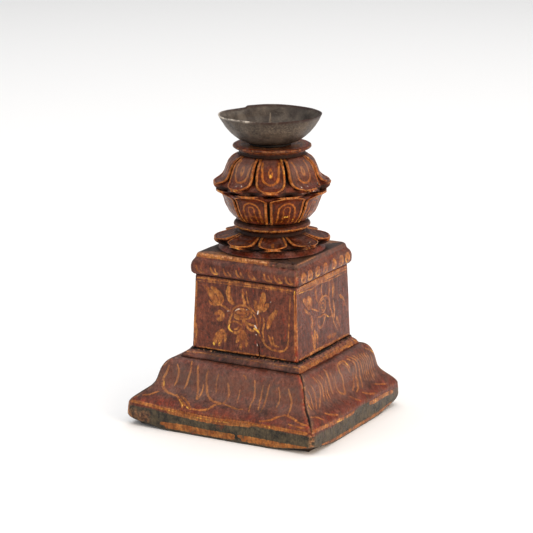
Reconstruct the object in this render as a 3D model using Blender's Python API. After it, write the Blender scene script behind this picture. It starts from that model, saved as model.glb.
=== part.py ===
"""Altar candlestick: a mitred wooden base, a square dado, a lotus baluster and an iron drip bowl.

Frame: metres, +Z up. The origin is the middle of the base's footprint, where it rests; -Y is the front.
The pedestal stands a few millimetres off the middle of its base, as on the hand-made original.
Neighbouring pieces keep a joint gap of GAP between them.
"""

import math

import bmesh
import bpy
from mathutils import Vector

MM = 0.001
GAP = 0.3 * MM

# Driving dimensions
BASE_HALF_X = 82.7 * MM
BASE_HALF_Y = 75.8 * MM
AXIS_X = 5.1 * MM
AXIS_Y = 2.7 * MM
SPIKE_SHIFT = Vector((-1.3 * MM, -0.7 * MM, 0))

DECK_BOTTOM = 52.5 * MM
DECK_TOP = 59.2 * MM
DADO_BOTTOM = DECK_TOP + GAP
DADO_TOP = 118.5 * MM
DADO_HALF_BOTTOM = (46.2 * MM, 44.8 * MM)
DADO_HALF_TOP = (43.8 * MM, 43.6 * MM)
DADO_BOARD = 9.0 * MM
CAP_BOTTOM = DADO_TOP + GAP
CAP_TOP = 136.2 * MM

FOOT_TOP = 140.9 * MM
ROSETTE_TOP = 149.5 * MM
LOWER_COLLAR_TOP = 159.0 * MM
LOWER_LOTUS_TOP = 183.6 * MM
UPPER_LOTUS_TOP = 211.0 * MM
COLLAR_SEAT = 217.6 * MM
WASHER_THICKNESS = 1.9 * MM
WASHER_RADIUS = 16.5 * MM
BOWL_BOTTOM = COLLAR_SEAT + WASHER_THICKNESS + 2 * GAP
RIM_HEIGHT = 242.2 * MM
RIM_RADIUS = 40.0 * MM
BOWL_WALL = 1.6 * MM
SPIKE_TIP = 242.2 * MM
SPIKE_HALF_WIDTH = 2.6 * MM
SPIKE_TANG_END = 188.0 * MM

DOWEL_RADIUS = 8.0 * MM
BORE_RADIUS = DOWEL_RADIUS + GAP
DOWEL_BOTTOM = 107.0 * MM
PEG_RADIUS = 2.4 * MM
PEG_LENGTH = 34.0 * MM
PEG_HEIGHT = CAP_BOTTOM - PEG_RADIUS - 2 * GAP

PETALS = 8
UPPER_PETAL_ANGLE = math.radians(-63.4)
LOWER_PETAL_ANGLE = math.radians(-43.0)
ROSETTE_PETAL_ANGLE = math.radians(-60.9)

NAIL_HEIGHT = 9.0 * MM
NAIL_RADIUS = 1.1 * MM
NAIL_LENGTH = 30.0 * MM
NAIL_INSET = 10.0 * MM

SIDES = {"front": (0, -1), "right": (1, 0), "back": (0, 1), "left": (-1, 0)}
CORNERS = {"front_left": (-1, -1), "front_right": (1, -1), "back_right": (1, 1), "back_left": (-1, 1)}


# Materials

def material(name, colour, roughness, metallic=0.0):
    """A Principled BSDF material."""
    made = bpy.data.materials.new(name)
    made.use_nodes = True
    shader = made.node_tree.nodes["Principled BSDF"]
    shader.inputs["Base Color"].default_value = (*colour, 1.0)
    shader.inputs["Roughness"].default_value = roughness
    shader.inputs["Metallic"].default_value = metallic
    return made


# Object and mesh helpers

def clear_scene():
    for old in list(bpy.data.objects):
        bpy.data.objects.remove(old)


def add_object(name, bm, finish, place=(0, 0, 0)):
    """Turns a bmesh into a named object, with its normals facing out."""
    bmesh.ops.recalc_face_normals(bm, faces=bm.faces)
    mesh = bpy.data.meshes.new(name)
    bm.to_mesh(mesh)
    bm.free()
    mesh.materials.append(finish)
    made = bpy.data.objects.new(name, mesh)
    made.location = place
    bpy.context.scene.collection.objects.link(made)
    return made


def shade_round(made, degrees=35):
    made.data.shade_smooth()
    made.data.set_sharp_from_angle(angle=math.radians(degrees))
    return made


def bridge(bm, first, second):
    """Quads between two closed rings of vertices with the same count."""
    count = len(first)
    for i in range(count):
        j = (i + 1) % count
        bm.faces.new((first[i], first[j], second[j], second[i]))


def loft(rings, capped):
    """A bmesh through closed rings of points: a capped stack, or a loop whose last ring joins the first."""
    bm = bmesh.new()
    loops = [[bm.verts.new(point) for point in ring] for ring in rings]
    for first, second in zip(loops, loops[1:]):
        bridge(bm, first, second)
    if capped:
        bm.faces.new(reversed(loops[0]))
        bm.faces.new(loops[-1])
    else:
        bridge(bm, loops[-1], loops[0])
    return bm


def lathe(name, section, steps, finish, place):
    """A ring-shaped solid round +Z. section(angle) gives its closed outline as (radius, height) pairs."""
    rings = []
    for step in range(steps):
        angle = 2 * math.pi * step / steps
        outline = section(angle)
        rings.append([(r * math.cos(angle), r * math.sin(angle), z) for r, z in outline])
    return shade_round(add_object(name, loft(rings, capped=False), finish, place))


def cylinder(radius, depth, segments=20):
    bm = bmesh.new()
    bmesh.ops.create_cone(bm, cap_ends=True, segments=segments, radius1=radius, radius2=radius, depth=depth)
    return bm


def add_cutter(name, bm, place, rotation=(0, 0, 0)):
    """A hidden helper that Booleans cut with."""
    cutter = add_object(name, bm, MATERIALS["bare_wood"], place)
    cutter.rotation_euler = rotation
    cutter.hide_render = True
    cutter.display_type = "WIRE"
    return cutter


def cut(target, cutter):
    boolean = target.modifiers.new(cutter.name, "BOOLEAN")
    boolean.operation = "DIFFERENCE"
    boolean.object = cutter


# Base: four mitred mouldings round a hollow, corner blocks, nails and a deck board

# Each profile point is (reach, height in mm): reach 0 is the dado's face, reach 1 the plinth's outer edge.
MOULDING_FACE = [
    (-0.08, 52.2),
    (0.20, 52.2),
    (0.30, 51.4),
    (0.38, 49.4),
    (0.45, 46.1),
    (0.50, 41.7),
    (0.53, 36.7),
    (0.575, 32.7),
    (0.63, 30.0),
    (0.72, 27.2),
    (0.82, 23.8),
    (0.90, 20.8),
    (0.955, 18.6),
    (0.99, 15.2),
    (1.0, 11.0),
    (1.0, 0.0),
]
MOULDING_INSIDE = [(0.60, 0.0), (0.60, 18.0), (0.05, 46.0), (-0.08, 46.0)]
CORNER_ROUND = 4.5 * MM
MITRE = math.pi / 4
MITRE_WEAR = 0.035


def plan_corner(reach, sign_x, sign_y):
    """The plan position of a mitre line at a reach between the dado's face and the plinth's edge."""
    dado_x = AXIS_X + sign_x * DADO_HALF_BOTTOM[0]
    dado_y = AXIS_Y + sign_y * DADO_HALF_BOTTOM[1]
    x = dado_x + reach * (sign_x * BASE_HALF_X - dado_x)
    y = dado_y + reach * (sign_y * BASE_HALF_Y - dado_y)
    return Vector((x, y, 0))


def moulding_ring(side, end, turn):
    """The moulding's outline near an end, as the rounding turns from 0 (straight) to MITRE (the end)."""
    nx, ny = SIDES[side]
    out = Vector((nx, ny, 0))
    along = end * Vector((-ny, nx, 0))
    signs = (nx or round(along.x), ny or round(along.y))
    ring = []
    for reach, height in MOULDING_FACE:
        if turn == MITRE:
            point = plan_corner(reach * (1 - MITRE_WEAR), *signs)
        else:
            radius = CORNER_ROUND * max(reach, 0.2)
            point = plan_corner(reach, *signs)
            point -= radius * (out * (1 - math.cos(turn)) + along * (1 - math.sin(turn)))
        ring.append(point + Vector((0, 0, height * MM)))
    for reach, height in MOULDING_INSIDE:
        set_back = CORNER_ROUND * (math.sin(MITRE) - math.sin(turn))
        ring.append(plan_corner(reach, *signs) - along * set_back + Vector((0, 0, height * MM)))
    return [point - along * GAP / 2 for point in ring]


def base_moulding(side):
    """One moulding board, its ends mitred along the lines through the base's corners."""
    rings = [moulding_ring(side, -1, turn) for turn in (MITRE, MITRE / 2, 0)]
    rings += [moulding_ring(side, 1, turn) for turn in (0, MITRE / 2, MITRE)]
    return add_object(f"base_moulding_{side}", loft(rings, capped=True), MATERIALS["red_lacquer"])


def base_glue_block(corner):
    """A triangular block glued into a corner of the hollow base."""
    sign_x, sign_y = CORNERS[corner]
    leg, bottom, top = 16 * MM, 1.0 * MM, 17.0 * MM
    tip = plan_corner(0.60, sign_x, sign_y) - Vector((sign_x, sign_y, 0)) * 1.3 * GAP
    outline = [tip, tip - Vector((sign_x * leg, 0, 0)), tip - Vector((0, sign_y * leg, 0))]
    rings = [[point + Vector((0, 0, height)) for point in outline] for height in (bottom, top)]
    return add_object(f"base_glue_block_{corner}", loft(rings, capped=True), MATERIALS["bare_wood"])


def nail_mesh(shank_radius, head_radius, length):
    """A wrought nail along +Z, head down: a flat head, then a shank that tapers to its point."""
    head = 1.0 * MM
    levels = [(head_radius, 0), (head_radius, head), (shank_radius, head), (shank_radius * 0.4, length)]
    rings = []
    for radius, height in levels:
        rings.append([(radius * math.cos(k * math.pi / 4), radius * math.sin(k * math.pi / 4), height)
                      for k in range(8)])
    return loft(rings, capped=True)


def mitre_nail(corner, mouldings):
    """A nail through the front or back moulding into the end of its neighbour, with its hole in both."""
    sign_x, sign_y = CORNERS[corner]
    place = (sign_x * (BASE_HALF_X - NAIL_INSET), sign_y * (BASE_HALF_Y - GAP), NAIL_HEIGHT)
    turn = (sign_y * math.pi / 2, 0, 0)
    nail = add_object(f"mitre_nail_{corner}", nail_mesh(NAIL_RADIUS, 2 * NAIL_RADIUS, NAIL_LENGTH),
                      MATERIALS["iron"], place)
    nail.rotation_euler = turn
    hole = nail_mesh(NAIL_RADIUS + GAP, 2 * NAIL_RADIUS + GAP, NAIL_LENGTH + GAP)
    for vertex in hole.verts:
        if vertex.co.z == 0:
            vertex.co.z = -2 * MM
        elif vertex.co.z < 2 * MM:
            vertex.co.z += GAP
    cutter = add_cutter(f"nail_hole_{corner}", hole, place, turn)
    for side in corner.split("_"):
        cut(mouldings[side], cutter)


def deck_board():
    """The board that closes the base and carries the dado. Its worn edge leads down to the moulding."""
    edge = [
        (0.17, DECK_BOTTOM),
        (0.165, DECK_BOTTOM + 2.4 * MM),
        (0.12, DECK_TOP - 2.2 * MM),
        (0.01, DECK_TOP),
    ]
    rings = []
    for reach, height in edge:
        rings.append([plan_corner(reach, sx, sy) + Vector((0, 0, height)) for sx, sy in CORNERS.values()])
    return add_object("deck_board", loft(rings, capped=True), MATERIALS["red_lacquer"])


# Dado: four mitred boards, slightly narrower at the top, with blocks in their corners

def dado_corner(sign_x, sign_y, inset, height):
    """A corner of the dado at a height, moved in from its outer faces."""
    rise = (height - DADO_BOTTOM) / (DADO_TOP - DADO_BOTTOM)
    half = [low + (high - low) * rise - inset for low, high in zip(DADO_HALF_BOTTOM, DADO_HALF_TOP)]
    return Vector((AXIS_X + sign_x * half[0], AXIS_Y + sign_y * half[1], height))


def dado_panel(side):
    nx, ny = SIDES[side]
    along = Vector((-ny, nx, 0))
    rings = []
    for height in (DADO_BOTTOM, DADO_TOP):
        corners = {}
        for end in (-1, 1):
            sign_x = nx or round(end * along.x)
            sign_y = ny or round(end * along.y)
            trim = along * (-end * GAP / 2)
            for inset in (0, DADO_BOARD):
                corners[end, inset] = dado_corner(sign_x, sign_y, inset, height) + trim
        rings.append([corners[-1, 0], corners[1, 0], corners[1, DADO_BOARD], corners[-1, DADO_BOARD]])
    return add_object(f"dado_panel_{side}", loft(rings, capped=True), MATERIALS["red_lacquer"])


def dado_corner_block(corner):
    """A triangular strip glued up the inside of a dado corner."""
    sign_x, sign_y = CORNERS[corner]
    leg, end_gap = 11 * MM, 3 * MM
    rings = []
    for height in (DADO_BOTTOM + end_gap, DADO_TOP - end_gap):
        tip = dado_corner(sign_x, sign_y, DADO_BOARD + GAP, height)
        rings.append([tip, tip - Vector((sign_x * leg, 0, 0)), tip - Vector((0, sign_y * leg, 0))])
    return add_object(f"dado_corner_block_{corner}", loft(rings, capped=True), MATERIALS["bare_wood"])


# Cap board: a square board with a rounded edge, a sloping top margin and a bore for the stem

CAP_PROFILE = [
    (44.0, 118.8),
    (46.2, 120.0),
    (47.3, 122.2),
    (47.6, 125.2),
    (47.2, 128.0),
    (46.0, 130.4),
    (44.4, 132.0),
    (43.2, 134.0),
    (42.3, 136.2),
]
CAP_CORNER_RADIUS = 3.5 * MM


def rounded_square(half_x, half_y, radius, height, steps=4):
    """The points of a square with rounded corners, anticlockwise."""
    points = []
    for quarter, (sx, sy) in enumerate(((1, 1), (-1, 1), (-1, -1), (1, -1))):
        for step in range(steps + 1):
            angle = math.pi / 2 * (quarter + step / steps)
            x = sx * (half_x - radius) + radius * math.cos(angle)
            y = sy * (half_y - radius) + radius * math.sin(angle)
            points.append((x, y, height))
    return points


def cap_board():
    rings = []
    for half, height in CAP_PROFILE:
        rings.append(rounded_square(half * MM, (half - 0.5) * MM, CAP_CORNER_RADIUS, height * MM))
    board = add_object("cap_board", loft(rings, capped=True), MATERIALS["red_lacquer"], (AXIS_X, AXIS_Y, 0))
    middle = (CAP_BOTTOM + CAP_TOP) / 2
    bore = add_cutter("cap_bore", cylinder(BORE_RADIUS, 40 * MM, 32), (AXIS_X, AXIS_Y, middle))
    cut(board, bore)
    return board


# Stem: turned and carved rings threaded on one dowel

def bored(outline, bottom, top):
    """Closes an outer outline, given in mm from bottom to top, with the dowel's bore."""
    return [(BORE_RADIUS, bottom)] + [(r * MM, z * MM) for r, z in outline] + [(BORE_RADIUS, top)]


def smooth(value):
    value = max(0.0, min(1.0, value))
    return value * value * (3 - 2 * value)


def petal_place(angle, phase):
    """How far an angle is from its nearest petal's centre line: 0 on the line, 1 midway between petals."""
    pitch = 2 * math.pi / PETALS
    return abs((angle - phase + pitch / 2) % pitch - pitch / 2) / (pitch / 2)


def mix(centre, edge, share):
    """Blends two outlines point by point, share 0 giving the first."""
    return [(a[0] + (b[0] - a[0]) * share, a[1] + (b[1] - a[1]) * share) for a, b in zip(centre, edge)]


FOOT_OUTLINE = [(42.8, 136.5), (43.3, 137.4), (41.9, 138.5), (39.1, 139.8), (38.2, 140.9)]
LOWER_COLLAR_OUTLINE = [
    (27.4, 149.8), (26.7, 150.6), (26.9, 151.8), (28.6, 152.6),
    (29.7, 154.0), (29.9, 155.8), (29.3, 157.4), (27.8, 158.5), (26.4, 159.0),
]
UPPER_COLLAR_OUTLINE = [
    (26.4, 211.3), (25.7, 212.6), (26.6, 214.0), (28.9, 214.7),
    (30.3, 215.8), (30.6, 217.1), (30.0, 218.2), (28.8, 218.7), (27.2, 218.2), (25.6, 217.6),
]

# Carved pieces have one outline along a petal's centre line and one along the groove between petals.
ROSETTE_CENTRE = [
    (37.5, 141.2), (43.2, 142.2), (45.0, 143.4), (44.9, 144.6), (43.6, 145.5), (38.0, 146.8), (32.0, 148.2),
    (28.2, 149.5),
]
ROSETTE_GROOVE = [
    (36.0, 141.2), (36.4, 141.8), (36.4, 142.6), (35.9, 143.2), (35.2, 143.8), (32.6, 145.4), (30.0, 147.4),
    (28.2, 149.5),
]
LOWER_LOTUS_CENTRE = [
    (27.0, 159.3), (30.0, 160.9), (33.4, 165.2), (35.9, 170.2), (37.3, 175.2), (38.6, 178.6),
    (41.6, 180.4), (44.2, 181.8), (43.8, 183.2), (40.4, 183.6),
]
LOWER_LOTUS_GROOVE = [
    (26.0, 159.3), (27.4, 161.2), (30.4, 165.6), (32.8, 170.4), (34.0, 174.8), (34.6, 177.6),
    (35.0, 179.4), (35.2, 181.0), (35.0, 182.6), (34.4, 183.6),
]
UPPER_LOTUS_CENTRE = [
    (35.4, 183.9), (40.4, 184.8), (44.4, 186.2), (45.8, 187.8), (45.3, 189.3), (42.6, 191.3),
    (39.2, 193.5), (37.0, 196.2), (35.4, 200.8), (33.2, 206.5), (29.8, 210.0), (26.6, 211.0),
]
UPPER_LOTUS_GROOVE = [
    (34.2, 183.9), (34.6, 185.0), (34.8, 186.6), (34.9, 188.4), (34.8, 190.4), (34.6, 192.4),
    (34.2, 194.4), (33.6, 196.6), (32.4, 200.8), (30.4, 206.1), (28.2, 209.6), (26.6, 211.0),
]


def turned(name, outline, bottom, top, finish):
    section = bored(outline, bottom, top)
    return lathe(name, lambda angle: section, 40, finish, (AXIS_X, AXIS_Y, 0))


def carved(name, centre, groove, phase, bottom, top, crown):
    """A ring of petals round the dowel. Each keeps its form over its crown, then falls to the groove."""
    wall, facets = 0.94, 10

    def section(angle):
        share = smooth((petal_place(angle, phase) - crown) / (wall - crown))
        return bored(mix(centre, groove, share), bottom, top)

    return lathe(name, section, PETALS * facets, MATERIALS["red_lacquer"], (AXIS_X, AXIS_Y, 0))


def stem_dowel():
    """The dowel through all the rings, with a socket for the spike and a cross hole for the peg."""
    top = COLLAR_SEAT - GAP
    middle = (DOWEL_BOTTOM + top) / 2
    dowel = add_object("stem_dowel", cylinder(DOWEL_RADIUS, top - DOWEL_BOTTOM, 32), MATERIALS["bare_wood"],
                       (AXIS_X, AXIS_Y, middle))
    depth = 2 * (top - SPIKE_TANG_END + 2 * MM)
    socket_place = Vector((AXIS_X, AXIS_Y, top)) + SPIKE_SHIFT
    cut(dowel, add_cutter("spike_socket", cylinder(SPIKE_HALF_WIDTH * 1.3, depth, 16), socket_place))
    cut(dowel, add_cutter("peg_hole", cylinder(PEG_RADIUS + GAP, 40 * MM, 16), (AXIS_X, AXIS_Y, PEG_HEIGHT),
                          (0, math.pi / 2, 0)))
    return shade_round(dowel)


def stem_peg():
    """The peg that holds the dowel down under the cap board."""
    peg = add_object("stem_peg", cylinder(PEG_RADIUS, PEG_LENGTH, 16), MATERIALS["bare_wood"],
                     (AXIS_X, AXIS_Y, PEG_HEIGHT))
    peg.rotation_euler = (0, math.pi / 2, 0)
    return shade_round(peg)


# Ironwork and its washer, all on the spike's axis

def spike_axis():
    """The empty that marks the axis the washer turns about and the bowl lifts along."""
    axis = bpy.data.objects.new("spike_axis", None)
    axis.location = Vector((AXIS_X, AXIS_Y, 0)) + SPIKE_SHIFT
    bpy.context.scene.collection.objects.link(axis)
    return axis


def pricket_spike(axis):
    """A forged four-sided spike: a tang down in the dowel, a shoulder in the bowl's hole, a long point."""
    levels = [
        (0.35, SPIKE_TANG_END),
        (0.9, COLLAR_SEAT - 2 * MM),
        (1.0, BOWL_BOTTOM),
        (0.9, BOWL_BOTTOM + 4 * MM),
        (0.52, RIM_HEIGHT - 8 * MM),
        (0.12, SPIKE_TIP),
    ]
    rings = []
    for share, height in levels:
        radius = share * SPIKE_HALF_WIDTH * math.sqrt(2) * 0.9
        rings.append([(radius * math.cos(k * math.pi / 2), radius * math.sin(k * math.pi / 2), height)
                      for k in range(4)])
    spike = add_object("pricket_spike", loft(rings, capped=True), MATERIALS["iron"])
    spike.parent = axis
    return spike


def bowl_washer(axis):
    """The leather washer between the collar and the bowl."""
    bottom = COLLAR_SEAT + GAP
    top = bottom + WASHER_THICKNESS
    hole = 4.2 * MM
    section = [(hole, bottom), (WASHER_RADIUS, bottom), (WASHER_RADIUS, top), (hole, top)]
    washer = lathe("bowl_washer", lambda angle: section, 32, MATERIALS["leather"], (0, 0, 0))
    washer.parent = axis
    return washer


BOWL_OUTLINE = [
    (17.0, 0.0), (21.5, 0.9), (25.0, 2.6), (28.0, 4.9),
    (31.3, 7.9), (34.9, 12.4), (37.7, 17.3), (39.2, 20.2),
]
BOWL_HOLE_RADIUS = 3.8 * MM


def drip_bowl(axis):
    """The iron bowl: a flat bottom with a hole for the spike, a curved wall and a thin rim."""
    wall = BOWL_WALL / MM
    outer = [(BOWL_HOLE_RADIUS, BOWL_BOTTOM)]
    inner = []
    for radius, rise in BOWL_OUTLINE:
        lean = smooth(rise / 16.0)
        outer.append((radius * MM, BOWL_BOTTOM + rise * MM))
        inner.append(((radius - wall * lean) * MM, BOWL_BOTTOM + (rise + wall * (1.15 - lean * 0.75)) * MM))
    rim = [(RIM_RADIUS, RIM_HEIGHT - 0.6 * MM), (RIM_RADIUS - 0.6 * MM, RIM_HEIGHT),
           (RIM_RADIUS - 1.3 * MM, RIM_HEIGHT - 0.6 * MM)]
    floor = BOWL_BOTTOM + wall * 1.15 * MM
    section = outer + rim + inner[::-1] + [(BOWL_HOLE_RADIUS, floor)]
    bowl = lathe("drip_bowl", lambda angle: section, 48, MATERIALS["iron"], (0, 0, 0))
    bowl.parent = axis
    return bowl


def build():
    mouldings = {side: base_moulding(side) for side in SIDES}
    for corner in CORNERS:
        base_glue_block(corner)
        mitre_nail(corner, mouldings)
        dado_corner_block(corner)
    deck_board()
    for side in SIDES:
        dado_panel(side)
    cap_board()
    turned("rosette_foot", FOOT_OUTLINE, CAP_TOP + GAP, FOOT_TOP, MATERIALS["red_lacquer"])
    carved("lotus_rosette", ROSETTE_CENTRE, ROSETTE_GROOVE, ROSETTE_PETAL_ANGLE,
           FOOT_TOP + GAP, ROSETTE_TOP, crown=0.5)
    turned("lower_collar", LOWER_COLLAR_OUTLINE,
           ROSETTE_TOP + GAP, LOWER_COLLAR_TOP, MATERIALS["red_lacquer"])
    carved("lower_lotus", LOWER_LOTUS_CENTRE, LOWER_LOTUS_GROOVE, LOWER_PETAL_ANGLE,
           LOWER_COLLAR_TOP + GAP, LOWER_LOTUS_TOP, crown=0.45)
    carved("upper_lotus", UPPER_LOTUS_CENTRE, UPPER_LOTUS_GROOVE, UPPER_PETAL_ANGLE,
           LOWER_LOTUS_TOP + GAP, UPPER_LOTUS_TOP, crown=0.45)
    turned("upper_collar", UPPER_COLLAR_OUTLINE,
           UPPER_LOTUS_TOP + GAP, COLLAR_SEAT, MATERIALS["red_lacquer"])
    stem_dowel()
    stem_peg()
    axis = spike_axis()
    pricket_spike(axis)
    bowl_washer(axis)
    drip_bowl(axis)


clear_scene()
MATERIALS = {
    "red_lacquer": material("red_lacquer", (0.16, 0.045, 0.025), 0.45),
    "bare_wood": material("bare_wood", (0.36, 0.24, 0.14), 0.8),
    "iron": material("iron", (0.09, 0.08, 0.07), 0.55, 0.9),
    "leather": material("leather", (0.03, 0.022, 0.018), 0.8),
}
build()
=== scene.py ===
"""The looks of the altar candlestick: carved and painted lacquer, forged iron, a studio floor and light.

Shapes are worked in millimetres in the row's frame and stored in metres. The wooden boards are sheets of
points laid along one side of the base, dado or cap; the stem's rings and the ironwork are turned round their
axes. Painted decoration is a set of brush strokes: each vertex stores how deep inside a stroke it lies, and
the lacquer's shader turns that depth into paint with worn, wavering edges.
"""

import math

import bmesh
import bpy
import numpy as np
from mathutils import Matrix, Vector


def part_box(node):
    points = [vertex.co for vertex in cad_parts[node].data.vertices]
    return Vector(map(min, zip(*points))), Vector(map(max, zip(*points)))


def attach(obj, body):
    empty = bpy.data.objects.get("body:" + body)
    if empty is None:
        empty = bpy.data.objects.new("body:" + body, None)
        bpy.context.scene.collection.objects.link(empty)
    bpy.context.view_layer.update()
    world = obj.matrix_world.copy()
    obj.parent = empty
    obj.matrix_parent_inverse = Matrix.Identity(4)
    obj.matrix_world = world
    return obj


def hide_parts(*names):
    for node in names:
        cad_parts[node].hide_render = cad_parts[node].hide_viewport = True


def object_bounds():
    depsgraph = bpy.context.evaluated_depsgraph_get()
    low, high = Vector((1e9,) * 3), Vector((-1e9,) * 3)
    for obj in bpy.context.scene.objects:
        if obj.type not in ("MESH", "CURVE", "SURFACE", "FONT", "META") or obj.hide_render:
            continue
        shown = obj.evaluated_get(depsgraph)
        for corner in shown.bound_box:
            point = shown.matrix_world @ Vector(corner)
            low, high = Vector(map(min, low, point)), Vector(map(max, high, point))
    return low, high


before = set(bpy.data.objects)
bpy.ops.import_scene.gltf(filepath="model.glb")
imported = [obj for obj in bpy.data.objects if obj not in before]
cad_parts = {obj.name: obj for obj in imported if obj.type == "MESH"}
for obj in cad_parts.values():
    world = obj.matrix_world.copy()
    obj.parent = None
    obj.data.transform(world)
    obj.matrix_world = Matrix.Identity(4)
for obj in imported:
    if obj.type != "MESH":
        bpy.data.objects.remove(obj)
cad_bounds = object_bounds()

MM = 0.001


# Places and sizes, from the frame

def box_mm(*nodes):
    """The lowest and highest corners, in mm, round one or more CAD nodes."""
    corners = [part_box(node) for node in nodes]
    low = np.min([np.array(c[0]) for c in corners], axis=0) / MM
    high = np.max([np.array(c[1]) for c in corners], axis=0) / MM
    return low, high


SIDES = ("front", "right", "back", "left")
BASE_LOW, BASE_HIGH = (np.array(corner) / MM for corner in cad_bounds)
DECK_TOP = box_mm("deck_board")[1][2]
DADO_LOW, DADO_HIGH = box_mm(*(f"dado_panel_{side}" for side in SIDES))
CAP_TOP = box_mm("cap_board")[1][2]
DOWEL_LOW, DOWEL_HIGH = box_mm("stem_dowel")
SPIKE_LOW, SPIKE_HIGH = box_mm("pricket_spike")
BOWL_LOW, BOWL_HIGH = box_mm("drip_bowl")
STEM_X, STEM_Y = (DOWEL_LOW + DOWEL_HIGH)[:2] / 2
SPIKE_X, SPIKE_Y = (SPIKE_LOW + SPIKE_HIGH)[:2] / 2
BORE_RADIUS = (DOWEL_HIGH - DOWEL_LOW)[0] / 2 + 0.3
DADO_HEIGHT = DADO_HIGH[2] - DADO_LOW[2]
# How far each face leans in by its top, across x and across y
DADO_TAPER = np.array([2.4, 1.2])
DADO_BOARD = 9.0


# Smooth numbers

WAVES = 9
FINE_STEPS = 600


def waver(x, y, z, size, seed):
    """Smooth waves from about -1 to 1, repeating at about size mm, the same each run."""
    draw = np.random.default_rng(seed)
    total = 0.0
    for _ in range(WAVES):
        direction = draw.normal(size=3)
        direction /= np.linalg.norm(direction) * size * draw.uniform(0.6, 1.7)
        turn = x * direction[0] + y * direction[1] + z * direction[2] + draw.uniform()
        total = total + np.sin(2 * math.pi * turn)
    return total / WAVES * 1.7


def limit(value):
    """Keeps a value between 0 and 1."""
    return np.clip(value, 0, 1)


def waver_at(points, size, seed):
    """The same waves over an array of points."""
    return waver(points[..., 0], points[..., 1], points[..., 2], size, seed)


def ease(value):
    """0 below 0, 1 above 1 and a smooth step between."""
    value = limit(value)
    return value * value * (3 - 2 * value)


def bump_at(value, centre, width):
    """A smooth hill of height 1."""
    return np.exp(-((value - centre) / width) ** 2)


def resample(points, count, soften=0.6):
    """Spreads count rows evenly along an outline of at least two numbers a point, and rounds its corners."""
    points = np.array(points, float)
    steps = np.hypot(*np.diff(points[:, :2], axis=0).T)
    length = np.r_[0, np.cumsum(steps)]
    fine = np.linspace(0, length[-1], FINE_STEPS)
    dense = np.stack([np.interp(fine, length, column) for column in points.T], axis=1)
    reach = max(1, round(soften / length[-1] * FINE_STEPS))
    padded = np.concatenate([np.repeat(dense[:1], reach, 0), dense, np.repeat(dense[-1:], reach, 0)])
    window = np.ones(2 * reach + 1) / (2 * reach + 1)
    soft = np.stack([np.convolve(column, window, mode="valid") for column in padded.T], axis=1)
    soft[0], soft[-1] = dense[0], dense[-1]
    at = np.linspace(0, length[-1], count)
    return np.stack([np.interp(at, fine, column) for column in soft.T], axis=1), at


def full_turn(count):
    """Angles once round, without repeating the first."""
    return np.linspace(0, 2 * math.pi, count, endpoint=False)


def around(radius, angle, centre=(STEM_X, STEM_Y)):
    """World x and y at a radius and an angle round an upright axis, which is the stem's unless given."""
    return centre[0] + radius * np.cos(angle), centre[1] + radius * np.sin(angle)


# Brush strokes

NO_PAINT = -6.0
BROAD_STROKE = 1.35
BRISTLE_PITCH = 1.9


def curve(points, steps=9):
    """A Catmull-Rom curve through a stroke's points."""
    ends = [points[0]] + list(points) + [points[-1]]
    ends = np.array(ends, float)
    path = []
    for a, b, c, d in zip(ends, ends[1:], ends[2:], ends[3:]):
        for t in np.arange(steps) / steps:
            path.append(b + 0.5 * t * (c - a + t * (2 * a - 5 * b + 4 * c - d + t * (3 * (b - c) + d - a))))
    return np.array(path + [ends[-1]])


def ink(x, y, strokes, dry=0.45):
    """How deep inside the nearest stroke each place is, in mm. A stroke is (half width, points). Broad
    strokes thin out in lines along their length, as a split brush leaves them."""
    depth = np.full(np.shape(x), NO_PAINT)
    for half, points in strokes:
        path = curve(points)
        share = np.linspace(0, 1, len(path))
        width = half * (dry + (1 - dry) * np.sin(math.pi * share) ** 0.6)
        for (ax, ay), (bx, by), start, end in zip(path, path[1:], width, width[1:]):
            dx, dy = bx - ax, by - ay
            along = limit(((x - ax) * dx + (y - ay) * dy) / max(dx * dx + dy * dy, 1e-9))
            away = np.hypot(x - ax - along * dx, y - ay - along * dy)
            inside = start + (end - start) * along - away
            if half > BROAD_STROKE:
                bristle = 0.5 - 0.5 * np.cos(2 * math.pi * away / BRISTLE_PITCH)
                inside = np.minimum(inside, 0.6 - 0.65 * bristle)
            depth = np.maximum(depth, inside)
    return depth


def flipped(strokes):
    """The same drawing seen in a mirror."""
    return [(half, [(-x, y) for x, y in points]) for half, points in strokes]


def only(shown, depth):
    """A paint depth where shown is true, and no paint elsewhere."""
    return np.where(shown, depth, NO_PAINT)


# The dado's sprays: x from the face's middle, y up from its bottom edge, in mm

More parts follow.
